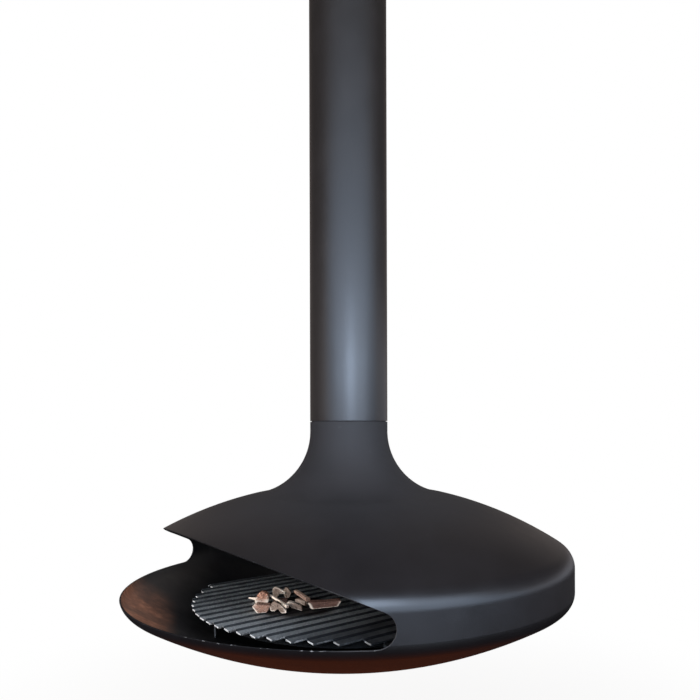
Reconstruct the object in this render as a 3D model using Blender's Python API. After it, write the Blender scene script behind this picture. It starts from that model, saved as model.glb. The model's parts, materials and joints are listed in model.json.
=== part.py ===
"""Hanging wood fireplace: a spun steel hearth that turns on a ball bearing at the foot of its flue.

The origin is the centre of the ceiling plate's top face, +Z is up and the mouth faces -Y. Sizes are in
metres. The hearth is measured downwards from its swivel, the thin seam between the flue and the neck.
A moving piece hangs under an empty that stands on its joint's axis.
"""

import math

import bmesh
import bpy
from mathutils import Matrix

FULL_TURN = math.tau
HALF_TURN = math.pi
QUARTER_TURN = math.pi / 2

# Fits and cuts
FIT = 0.0003
MERGE = 0.000001
OVERRUN = 0.030

# Flue
FLUE_DROP = 1.400
CASING_RADIUS = 0.110
CASING_WALL = 0.003
FLUE_ANNULUS = 0.030
LINER_WALL = 0.0015
SEAM_GAP = 0.002

# Ceiling plate, collar and rosette
PLATE_RADIUS = 0.160
PLATE_THICKNESS = 0.010
LINER_PASSAGE = 0.002
LINER_FLANGE_WIDTH = 0.012
LINER_FLANGE_THICKNESS = 0.002
LINER_JOINT_DROP = 0.700
LINER_SOCKET_DEPTH = 0.050
LINER_SOCKET_TAPER = 0.003
ANCHOR_HOLES = 6
ANCHOR_HOLE_RADIUS = 0.0065
ANCHOR_EDGE = 0.025
COLLAR_WALL = 0.004
COLLAR_HEIGHT = 0.080
COLLAR_SCREWS = 4
COLLAR_SCREW_DROP = 0.028
COLLAR_SCREW_RADIUS = 0.0025
ROSETTE_HEIGHT = 0.055
ROSETTE_WALL = 0.0015
ROSETTE_PASSAGE = 0.0015
ROSETTE_JOINT = 0.0006
ROSETTE_SCREWS = 4
ROSETTE_SCREW_RADIUS = 0.0018
SCREW_BITE = 0.010

# Liner spacers
SPACER_DROP_shares = (0.286, 0.714)
SPACER_HEIGHT = 0.020
SPACER_WALL = 0.0015
SPACER_FINS = 3

# Ball bearing in the foot of the casing
SUPPORT_RISE = 0.020
SUPPORT_THICKNESS = 0.010
SUPPORT_CLEARANCE = 0.0025
RACE_HALF_WIDTH = 0.006
RACE_WEB = 0.003
BALLS = 16
BALL_RADIUS = 0.0045
GROOVE_CLEARANCE = 0.0006
CAGE_HALF_WIDTH = 0.007
CAGE_THICKNESS = 0.002
CAGE_CLEARANCE = 0.0008

# Hanger sleeve, ring nut, neck ring and seal
SLEEVE_PASSAGE = 0.005
SLEEVE_WALL = 0.003
SLEEVE_DROP = 0.100
SLEEVE_FLANGE_THICKNESS = 0.006
NECK_RING_DROP = 0.006
NECK_RING_THICKNESS = 0.012
NUT_WIDTH = 0.012
NUT_HEIGHT = 0.012
NUT_NOTCHES = 4
NUT_NOTCH_WIDTH = 0.010
NUT_NOTCH_DEPTH = 0.004
LINER_END_RISE = 0.030
GASKET_RISE = 0.034
GASKET_HEIGHT = 0.008

# Hood: neck, flare, shoulder, dome, rim and band
BODY_RADIUS = 0.617
SHEET = 0.004
NECK_LENGTH = 0.0275
FLARE_RADIUS = 0.178
FLARE_ANGLE = math.radians(80.3)
SHOULDER_RADIUS = 0.380
SHOULDER_ANGLE = math.radians(76.3)
RIM_RADIUS = 0.054
RIM_ANGLE = math.radians(57.7)
BAND_HEIGHT = 0.062

# Bowl
FOOT_RADIUS = 0.040
DISH_ANGLE = math.radians(58.8)

# Mouth, as seen from the side
MOUTH_REACH = 0.363
MOUTH_END_RADIUS = 0.0394
MOUTH_RISE = math.radians(26.0)
LIP_DROP = 0.0088

# Damper in the sleeve
SPINDLE_DROP = 0.060
SPINDLE_RADIUS = 0.005
BUSH_WALL = 0.0025
BUSH_FLANGE_WIDTH = 0.003
BUSH_FLANGE_THICKNESS = 0.002
BLADE_CLEARANCE = 0.003
BLADE_THICKNESS = 0.002
BLADE_SCREW_OFFSET = 0.040
BLADE_SCREW_RADIUS = 0.0018
LEVER_LENGTH = 0.130
LEVER_THICKNESS = 0.006
LEVER_HUB_RADIUS = 0.010
LEVER_EYE_RADIUS = 0.015
LEVER_EYE_HOLE_RADIUS = 0.009
LEVER_ANGLE = math.radians(45.0)
LEVER_SCREW_RADIUS = 0.0015

# Grate
GRATE_RADIUS = 0.430
GRATE_WIDTH_share = 0.877
GRATE_RIBS = 18
GRATE_RISE_share = 0.60
GRATE_DEPTH = 0.007
GRATE_THICKNESS = 0.004
GRATE_TURN = math.radians(5.0)
GRATE_BELOW_LIP = 0.042

# Grate stand
STAND_INSET = 0.005
STAND_BAR = 0.004
STAND_HEIGHT = 0.025
STAND_LEGS = 4
STAND_LEG_WIDTH = 0.024
STAND_LEG_TURN = math.radians(-19.0)
STAND_BOLT_RADIUS = 0.005

# Kindling: two heights of stick, the upper ones lying across the lower ones
STICK_LENGTH = 0.124
STICK_WIDTH = 0.034
STICK_HEIGHT = 0.016
BLOCK_HEIGHT = 0.024
TWIG_HEIGHT = 0.009

# Fasteners: a head is this many times its shank
HEAD_RADIUS_share = 1.9
HEAD_HEIGHT_share = 1.2
HEAD_CROWN_share = 0.6

# Facets
BODY_FACETS = 56
FLUE_FACETS = 40
BUSH_FACETS = 16
FASTENER_FACETS = 8
BOLT_FACETS = 6
FLARE_STEPS = 7
DOME_STEPS = 4
RIM_STEPS = 4
FOOT_STEPS = 3
DISH_STEPS = 6
MOUTH_END_STEPS = 8
GROOVE_STEPS = 4
LEVER_END_STEPS = 8
SMOOTH_ANGLE = math.radians(35.0)

# Heights and radii that follow from the sizes above
CASING_BORE = CASING_RADIUS - CASING_WALL
LINER_RADIUS = CASING_RADIUS - FLUE_ANNULUS
SLEEVE_BORE = LINER_RADIUS + SLEEVE_PASSAGE
SLEEVE_RADIUS = SLEEVE_BORE + SLEEVE_WALL
RACE_PITCH = (SLEEVE_RADIUS + CASING_BORE) / 2
NECK_BORE = CASING_RADIUS - SHEET
HOOD_TOP = -SEAM_GAP / 2
GRATE_HALF_WIDTH = GRATE_RADIUS * GRATE_WIDTH_share
STAND_RADIUS = GRATE_HALF_WIDTH - STAND_INSET

ORIGIN = (0.0, 0.0, 0.0)
UP = (0.0, 0.0, 1.0)
HERE = Matrix.Identity(4)
FLAT_TO_SIDE = Matrix(((0, 0, 1, 0), (1, 0, 0, 0), (0, 1, 0, 0), (0, 0, 0, 1)))
FLAT_TO_FRONT = Matrix.Rotation(QUARTER_TURN, 4, "X")


def clear_scene():
    for thing in list(bpy.data.objects):
        bpy.data.objects.remove(thing)


def finish(name, colour, roughness, metallic):
    """Material with one Principled shader."""
    material = bpy.data.materials.new(name)
    material.use_nodes = True
    shader = material.node_tree.nodes["Principled BSDF"]
    shader.inputs["Base Color"].default_value = (*colour, 1.0)
    shader.inputs["Roughness"].default_value = roughness
    shader.inputs["Metallic"].default_value = metallic
    material.diffuse_color = (*colour, 1.0)
    return material


def datum(name, location, parent=None):
    """Empty that carries the pieces of one body."""
    empty = bpy.data.objects.new(name, None)
    empty.location = location
    empty.parent = parent
    bpy.context.scene.collection.objects.link(empty)
    return empty


def piece(name, mesh, material, parent, place=HERE):
    """Object of one sub-part, placed under its body's empty."""
    mesh.materials.clear()
    mesh.materials.append(material)
    mesh.shade_smooth()
    mesh.set_sharp_from_angle(angle=SMOOTH_ANGLE)
    thing = bpy.data.objects.new(name, mesh)
    thing.parent = parent
    thing.matrix_basis = place
    bpy.context.scene.collection.objects.link(thing)
    return thing


def pieces(name, mesh, material, parent, places):
    """One object for each copy of a repeated piece; the copies share their mesh."""
    return [
        piece(f"{name}_{number}", mesh, material, parent, place) for number, place in enumerate(places, 1)
    ]


def cutter(name, mesh, parent, place=HERE):
    """Helper that shapes other pieces and isn't one itself."""
    thing = bpy.data.objects.new(name, mesh)
    thing.parent = parent
    thing.matrix_basis = place
    thing.hide_render = True
    thing.display_type = "WIRE"
    bpy.context.scene.collection.objects.link(thing)
    return thing


def carve(thing, tool, operation="DIFFERENCE"):
    modifier = thing.modifiers.new(tool.name, "BOOLEAN")
    modifier.operation = operation
    modifier.solver = "EXACT"
    modifier.object = tool


def mesh_from(form):
    """Mesh of a bmesh form whose faces point outwards."""
    bmesh.ops.recalc_face_normals(form, faces=form.faces)
    mesh = bpy.data.meshes.new("form")
    form.to_mesh(mesh)
    form.free()
    return mesh


def turned(profile, facets, sweep=FULL_TURN, start=0.0):
    """Profile of (radius, height) corners spun about the vertical axis, capped if short of a turn."""
    form = bmesh.new()
    corners = [form.verts.new((radius, 0.0, height)) for radius, height in profile]
    sides = []
    for first, second in zip(corners, corners[1:] + corners[:1]):
        if first.co.x or second.co.x:
            sides.append(form.edges.new((first, second)))
    closed = sweep == FULL_TURN
    bmesh.ops.spin(
        form, geom=corners + sides, cent=ORIGIN, axis=UP, angle=sweep, steps=facets, use_merge=closed
    )
    bmesh.ops.remove_doubles(form, verts=form.verts, dist=MERGE)
    if not closed:
        bmesh.ops.edgeloop_fill(form, edges=[edge for edge in form.edges if edge.is_boundary])
    bmesh.ops.rotate(form, cent=ORIGIN, matrix=Matrix.Rotation(start, 3, "Z"), verts=form.verts)
    return mesh_from(form)


def prism(outline, depth, place=HERE):
    """Flat outline in XY, extruded to both sides by half the depth and then placed."""
    form = bmesh.new()
    face = form.faces.new([form.verts.new((across, along, -depth / 2)) for across, along in outline])
    grown = bmesh.ops.extrude_face_region(form, geom=[face])["geom"]
    risen = [vertex for vertex in grown if isinstance(vertex, bmesh.types.BMVert)]
    bmesh.ops.translate(form, vec=(0.0, 0.0, depth), verts=risen)
    bmesh.ops.transform(form, matrix=place, verts=form.verts)
    return mesh_from(form)


def copies(mesh, places):
    """One mesh with the given one at each place, for a cutter that works in several places."""
    form = bmesh.new()
    for place in places:
        before = len(form.verts)
        form.from_mesh(mesh)
        form.verts.ensure_lookup_table()
        bmesh.ops.transform(form, matrix=place, verts=form.verts[before:])
    return mesh_from(form)


def tube(inner, outer, bottom, top):
    return [(outer, top), (outer, bottom), (inner, bottom), (inner, top)]


def rod(radius, bottom, top):
    return [(0.0, top), (radius, top), (radius, bottom), (0.0, bottom)]


def hole_radius(shank, facets):
    """Corner radius of a faceted hole whose flats clear a round shank."""
    return (shank + FIT) / math.cos(HALF_TURN / facets)


def screw(shank, length, facets, crowned=True):
    """Screw that points down its -Z and whose head seats at height 0."""
    head = shank * HEAD_RADIUS_share
    height = shank * HEAD_HEIGHT_share
    crown = head * HEAD_CROWN_share if crowned else head
    side = height * HEAD_CROWN_share if crowned else height
    profile = [(0.0, height), (crown, height), (head, side), (head, 0.0)]
    if not crowned:
        profile.remove((head, side))
    return turned(profile + [(shank, 0.0), (shank, -length), (0.0, -length)], facets)


def around(count, radius, height, first=0.0):
    """Places on a circle that keep +Z up."""
    for index in range(count):
        turn = Matrix.Rotation(first + FULL_TURN * index / count, 4, "Z")
        yield turn @ Matrix.Translation((radius, 0.0, height))


def outwards(count, radius, height, first=0.0):
    """Places on a circle whose +Z points away from the axis."""
    for place in around(count, radius, height, first):
        yield place @ Matrix.Rotation(QUARTER_TURN, 4, "Y")


def arc(start, radius, angle_from, angle_to, steps):
    """Corners along an arc, as (radius, height, angle).

    The angle is that of the outward normal above the horizontal, and also the angle between the way
    down the profile and straight down.
    """
    sign = 1.0 if angle_to > angle_from else -1.0
    corners = []
    for step in range(1, steps + 1):
        angle = angle_from + (angle_to - angle_from) * step / steps
        across = start[0] + sign * radius * (math.cos(angle_from) - math.cos(angle))
        height = start[1] - sign * radius * (math.sin(angle) - math.sin(angle_from))
        corners.append((across, height, angle))
    return corners


def inset(run, depth):
    """The same run of corners, moved inwards along their normals."""
    return [(r - depth * math.cos(a), z - depth * math.sin(a)) for r, z, a in run]


def hood_run():
    """Outside of the hood from the seam down to the foot of its band."""
    run = [(CASING_RADIUS, HOOD_TOP, 0.0), (CASING_RADIUS, -NECK_LENGTH, 0.0)]
    run += arc(run[-1], FLARE_RADIUS, 0.0, FLARE_ANGLE, FLARE_STEPS)
    run += arc(run[-1], SHOULDER_RADIUS, FLARE_ANGLE, SHOULDER_ANGLE, 1)
    rim_width = RIM_RADIUS * (1 - math.cos(RIM_ANGLE))
    dome_width = BODY_RADIUS - rim_width - run[-1][0]
    dome_radius = dome_width / (math.cos(RIM_ANGLE) - math.cos(SHOULDER_ANGLE))
    run += arc(run[-1], dome_radius, SHOULDER_ANGLE, RIM_ANGLE, DOME_STEPS)
    run += arc(run[-1], RIM_RADIUS, RIM_ANGLE, 0.0, RIM_STEPS)
    run.append((BODY_RADIUS, run[-1][1] - BAND_HEIGHT, 0.0))
    return run


HOOD_RUN = hood_run()
NECK_CORNERS = 2 + FLARE_STEPS
BAND_FOOT = HOOD_RUN[-1][1]
LIP_HEIGHT = BAND_FOOT - LIP_DROP
GRATE_HEIGHT = LIP_HEIGHT - GRATE_BELOW_LIP
GRATE_TOP = GRATE_HEIGHT + (GRATE_DEPTH + GRATE_THICKNESS) / 2
GRATE_UNDERSIDE = GRATE_HEIGHT - (GRATE_DEPTH + GRATE_THICKNESS) / 2


def bowl_run():
    """Outside of the bowl from the foot of the band to the middle of the dish."""
    run = [(BODY_RADIUS, BAND_FOOT - FIT, 0.0)]
    run += arc(run[-1], FOOT_RADIUS, 0.0, -DISH_ANGLE, FOOT_STEPS)
    dish_radius = run[-1][0] / math.cos(DISH_ANGLE)
    run += arc(run[-1], dish_radius, -DISH_ANGLE, -QUARTER_TURN, DISH_STEPS)
    return run


BOWL_RUN = bowl_run()


def on_axis(points):
    """Points with the last one put exactly on the axis."""
    return points[:-1] + [(0.0, points[-1][1])]


def mouth_outline():
    """The mouth from the side: a level lip, a round inner end and a rising upper edge, as (y, z)."""
    end_y = MOUTH_REACH - BODY_RADIUS - MOUTH_END_RADIUS
    end_z = LIP_HEIGHT + MOUTH_END_RADIUS
    front_y = -BODY_RADIUS - OVERRUN
    first = -QUARTER_TURN
    last = QUARTER_TURN - MOUTH_RISE
    outline = [(front_y, LIP_HEIGHT)]
    for step in range(MOUTH_END_STEPS + 1):
        angle = first + (last - first) * step / MOUTH_END_STEPS
        across = MOUTH_END_RADIUS * math.cos(angle)
        outline.append((end_y + across, end_z + MOUTH_END_RADIUS * math.sin(angle)))
    top_y, top_z = outline[-1]
    outline.append((front_y, top_z + (top_y - front_y) * math.tan(MOUTH_RISE)))
    return outline


def make_ceiling_fixing(body, steel, black):
    """Plate, collar, their screws and the two halves of the rosette."""
    counterbore = LINER_RADIUS + LINER_FLANGE_WIDTH
    bore = LINER_RADIUS + LINER_PASSAGE
    ledge = -LINER_FLANGE_THICKNESS - 2 * FIT
    plate = piece(
        "ceiling_plate",
        turned(
            [
                (PLATE_RADIUS, 0.0),
                (PLATE_RADIUS, -PLATE_THICKNESS),
                (bore, -PLATE_THICKNESS),
                (bore, ledge),
                (counterbore + FIT, ledge),
                (counterbore + FIT, 0.0),
            ],
            FLUE_FACETS,
        ),
        steel,
        body,
    )
    drill = turned(rod(ANCHOR_HOLE_RADIUS, -PLATE_THICKNESS - OVERRUN, OVERRUN), BUSH_FACETS)
    anchors = around(ANCHOR_HOLES, PLATE_RADIUS - ANCHOR_EDGE, 0.0, HALF_TURN / ANCHOR_HOLES)
    carve(plate, cutter("anchor_drill", copies(drill, anchors), body))

    collar_radius = CASING_BORE - FIT
    collar_top = -PLATE_THICKNESS - FIT
    collar = piece(
        "hanging_collar",
        turned(
            tube(collar_radius - COLLAR_WALL, collar_radius, collar_top - COLLAR_HEIGHT, collar_top),
            FLUE_FACETS,
        ),
        steel,
        body,
    )
    screw_height = collar_top - COLLAR_SCREW_DROP
    screw_length = CASING_WALL + COLLAR_WALL + 2 * FIT
    screws = list(outwards(COLLAR_SCREWS, CASING_RADIUS + FIT, screw_height))
    collar_screw = screw(COLLAR_SCREW_RADIUS, screw_length, FASTENER_FACETS)
    pieces("collar_screw", collar_screw, steel, body, screws)
    drill = turned(
        rod(hole_radius(COLLAR_SCREW_RADIUS, FASTENER_FACETS), -OVERRUN, OVERRUN), FASTENER_FACETS
    )
    collar_drill = cutter("collar_drill", copies(drill, screws), body)
    carve(collar, collar_drill)

    rosette_bore = CASING_RADIUS + ROSETTE_PASSAGE
    rosette_inside = PLATE_RADIUS + FIT
    rosette_radius = rosette_inside + ROSETTE_WALL
    profile = [
        (rosette_radius, -FIT),
        (rosette_radius, -ROSETTE_HEIGHT),
        (rosette_bore, -ROSETTE_HEIGHT),
        (rosette_bore, -ROSETTE_HEIGHT + ROSETTE_WALL),
        (rosette_inside, -ROSETTE_HEIGHT + ROSETTE_WALL),
        (rosette_inside, -FIT),
    ]
    joint = ROSETTE_JOINT / rosette_bore
    screws = list(outwards(ROSETTE_SCREWS, rosette_radius + FIT, -PLATE_THICKNESS / 2, QUARTER_TURN / 2))
    drill = turned(
        rod(hole_radius(ROSETTE_SCREW_RADIUS, FASTENER_FACETS), -SCREW_BITE - FIT, OVERRUN), FASTENER_FACETS
    )
    rosette_drill = cutter("rosette_drill", copies(drill, screws), body)
    for name, start in (("rosette_right", -QUARTER_TURN), ("rosette_left", QUARTER_TURN)):
        half = turned(profile, FLUE_FACETS // 2, HALF_TURN - joint, start + joint / 2)
        carve(piece(name, half, black, body), rosette_drill)
    carve(plate, rosette_drill)
    rosette_screw = screw(ROSETTE_SCREW_RADIUS, SCREW_BITE, FASTENER_FACETS)
    pieces("rosette_screw", rosette_screw, black, body, screws)
    return collar_drill


def make_flue(body, black, inner_steel, steel, collar_drill):
    """Casing, liner, spacers and what the casing carries at its foot."""
    seam_top = -FLUE_DROP + SEAM_GAP / 2
    casing = piece(
        "flue_casing",
        turned(tube(CASING_BORE, CASING_RADIUS, seam_top, -PLATE_THICKNESS - FIT), FLUE_FACETS),
        black,
        body,
    )
    carve(casing, collar_drill)
    liner_bore = LINER_RADIUS - LINER_WALL
    flange_radius = LINER_RADIUS + LINER_FLANGE_WIDTH
    liner_foot = -FLUE_DROP + LINER_END_RISE
    socket_foot = -LINER_JOINT_DROP - LINER_SOCKET_DEPTH
    taper_foot = socket_foot - LINER_SOCKET_TAPER
    socket_bore = LINER_RADIUS + FIT
    piece(
        "liner_upper",
        turned(
            [
                (flange_radius, -FIT),
                (flange_radius, -FIT - LINER_FLANGE_THICKNESS),
                (LINER_RADIUS, -FIT - LINER_FLANGE_THICKNESS),
                (LINER_RADIUS, socket_foot + FIT),
                (liner_bore, socket_foot + FIT),
                (liner_bore, -FIT),
            ],
            FLUE_FACETS,
        ),
        inner_steel,
        body,
    )
    piece(
        "liner_lower",
        turned(
            [
                (socket_bore + LINER_WALL, -LINER_JOINT_DROP),
                (socket_bore + LINER_WALL, socket_foot),
                (LINER_RADIUS, taper_foot),
                (LINER_RADIUS, liner_foot),
                (liner_bore, liner_foot),
                (liner_bore, taper_foot),
                (socket_bore, socket_foot),
                (socket_bore, -LINER_JOINT_DROP),
            ],
            FLUE_FACETS,
        ),
        inner_steel,
        body,
    )
    clamp = turned(
        tube(LINER_RADIUS + FIT, LINER_RADIUS + FIT + SPACER_WALL, -SPACER_HEIGHT / 2, SPACER_HEIGHT / 2),
        FLUE_FACETS,
    )
    fin_root = LINER_RADIUS + FIT + SPACER_WALL / 2
    fin_tip = (CASING_BORE - FIT) * math.cos(HALF_TURN / FLUE_FACETS) - FIT
    fin = prism(
        [
            (fin_root, -SPACER_WALL / 2),
            (fin_tip, -SPACER_WALL / 2),
            (fin_tip, SPACER_WALL / 2),
            (fin_root, SPACER_WALL / 2),
        ],
        SPACER_HEIGHT / 2,
    )
    fins = copies(fin, around(SPACER_FINS, 0.0, 0.0, QUARTER_TURN))
    for name, drop_share in zip(("spacer_upper", "spacer_lower"), SPACER_DROP_shares):
        place = Matrix.Translation((0.0, 0.0, -FLUE_DROP * drop_share))
        spacer = piece(name, clamp, inner_steel, body, place)
        carve(spacer, cutter(name + "_fins", fins, body, place), "UNION")
    foot = datum("casing_foot", (0.0, 0.0, -FLUE_DROP), body)
    piece(
        "support_flange",
        turned(
            tube(
                SLEEVE_RADIUS + SUPPORT_CLEARANCE,
                CASING_BORE - FIT,
                SUPPORT_RISE,
                SUPPORT_RISE + SUPPORT_THICKNESS,
            ),
            FLUE_FACETS,
        ),
        steel,
        foot,
    )
    return foot


RACE_FOOT = SUPPORT_RISE + SUPPORT_THICKNESS + FIT
BALL_RISE = RACE_FOOT + RACE_WEB + GROOVE_CLEARANCE + BALL_RADIUS
RACE_HEIGHT = BALL_RISE - CAGE_THICKNESS / 2 - CAGE_CLEARANCE - RACE_FOOT


def race_profile():
    """Section of the lower race, with its groove, from its flat foot at height 0."""
    groove = BALL_RADIUS + GROOVE_CLEARANCE
    centre = BALL_RISE - RACE_FOOT
    spread = math.acos((centre - RACE_HEIGHT) / groove)
    profile = [(RACE_PITCH - RACE_HALF_WIDTH, RACE_HEIGHT), (RACE_PITCH - RACE_HALF_WIDTH, 0.0)]
    profile += [(RACE_PITCH + RACE_HALF_WIDTH, 0.0), (RACE_PITCH + RACE_HALF_WIDTH, RACE_HEIGHT)]
    for step in range(GROOVE_STEPS + 1):
        angle = spread - 2 * spread * step / GROOVE_STEPS
        profile.append((RACE_PITCH + groove * math.sin(angle), centre - groove * math.cos(angle)))
    return profile


def make_bearing(foot, cage_body, hearth, steel):
    """The two races and the caged balls between them, one piece with their cage."""
    track = turned(race_profile(), FLUE_FACETS)
    piece("lower_race", track, steel, foot, Matrix.Translation((0.0, 0.0, RACE_FOOT)))
    upper = turned([(r, -z) for r, z in race_profile()], FLUE_FACETS)
    piece("upper_race", upper, steel, hearth, Matrix.Translation((0.0, 0.0, 2 * BALL_RISE - RACE_FOOT)))
    cage = turned(
        tube(
            RACE_PITCH - CAGE_HALF_WIDTH,
            RACE_PITCH + CAGE_HALF_WIDTH,
            -CAGE_THICKNESS / 2,
            CAGE_THICKNESS / 2,
        ),
        FLUE_FACETS,
    )
    cage = piece("ball_cage", cage, steel, cage_body)
    ball = bmesh.new()
    bmesh.ops.create_icosphere(ball, subdivisions=1, radius=BALL_RADIUS)
    balls = copies(mesh_from(ball), around(BALLS, RACE_PITCH, 0.0))
    carve(cage, cutter("bearing_balls", balls, cage_body), "UNION")


def make_hanger(hearth, steel, rope):
    """Sleeve that hangs on the upper race, its ring nut, the neck ring and the rope seal."""
    flange_foot = 2 * BALL_RISE - RACE_FOOT + FIT
    flange_radius = RACE_PITCH + RACE_HALF_WIDTH
    profile = [
        (flange_radius, flange_foot + SLEEVE_FLANGE_THICKNESS),
        (flange_radius, flange_foot),
        (SLEEVE_RADIUS, flange_foot),
        (SLEEVE_RADIUS, -SLEEVE_DROP),
        (SLEEVE_BORE, -SLEEVE_DROP),
        (SLEEVE_BORE, flange_foot + SLEEVE_FLANGE_THICKNESS),
    ]
    sleeve = piece("hanger_sleeve", turned(profile, FLUE_FACETS), steel, hearth)
    ring_foot = -NECK_RING_DROP - NECK_RING_THICKNESS
    ring = tube(SLEEVE_RADIUS + FIT, NECK_BORE - FIT, ring_foot, -NECK_RING_DROP)
    piece("neck_ring", turned(ring, FLUE_FACETS), steel, hearth)
    nut_top = ring_foot - FIT
    nut_radius = SLEEVE_RADIUS + FIT + NUT_WIDTH
    nut = turned(tube(SLEEVE_RADIUS + FIT, nut_radius, nut_top - NUT_HEIGHT, nut_top), FLUE_FACETS)
    nut = piece("sleeve_nut", nut, steel, hearth)
    notch = prism(
        [
            (nut_radius - NUT_NOTCH_DEPTH, -NUT_NOTCH_WIDTH / 2),
            (nut_radius + OVERRUN, -NUT_NOTCH_WIDTH / 2),
            (nut_radius + OVERRUN, NUT_NOTCH_WIDTH / 2),
            (nut_radius - NUT_NOTCH_DEPTH, NUT_NOTCH_WIDTH / 2),
        ],
        NUT_HEIGHT + 2 * OVERRUN,
    )
    notches = copies(notch, around(NUT_NOTCHES, 0.0, nut_top - NUT_HEIGHT / 2, QUARTER_TURN / 2))
    carve(nut, cutter("nut_notches", notches, hearth))
    inner = hole_radius(LINER_RADIUS, FLUE_FACETS)
    middle = GASKET_RISE + GASKET_HEIGHT / 2
    half = GASKET_HEIGHT / 2
    corner = (SLEEVE_BORE - FIT - inner) / 4
    seal = [
        (inner + corner, middle + half),
        (SLEEVE_BORE - FIT - corner, middle + half),
        (SLEEVE_BORE - FIT, middle + half - corner),
        (SLEEVE_BORE - FIT, middle - half + corner),
        (SLEEVE_BORE - FIT - corner, middle - half),
        (inner + corner, middle - half),
        (inner, middle - half + corner),
        (inner, middle + half - corner),
    ]
    piece("flue_gasket", turned(seal, FLUE_FACETS), rope, hearth)
    return sleeve


def make_shells(hearth, black):
    """Flared neck, hood and bowl, three spun shells welded edge to edge. The mouth cuts the lower two."""
    neck = HOOD_RUN[:NECK_CORNERS]
    outside = [(r, z) for r, z, angle in neck]
    piece("flared_neck", turned(outside + inset(neck, SHEET)[::-1], BODY_FACETS), black, hearth)
    r, z, angle = neck[-1]
    weld = (r + FIT * math.sin(angle), z - FIT * math.cos(angle), angle)
    dome = [weld] + HOOD_RUN[NECK_CORNERS:]
    outside = [(r, z) for r, z, angle in dome]
    hood = piece("hood", turned(outside + inset(dome, SHEET)[::-1], BODY_FACETS), black, hearth)
    outside = on_axis([(r, z) for r, z, angle in BOWL_RUN])
    inside = on_axis(inset(BOWL_RUN, SHEET))
    bowl = piece("bowl", turned(outside + inside[::-1], BODY_FACETS), black, hearth)
    width = 2 * (BODY_RADIUS + OVERRUN)
    mouth = cutter("mouth", prism(mouth_outline(), width, FLAT_TO_SIDE), hearth)
    carve(hood, mouth)
    carve(bowl, mouth)


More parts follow.
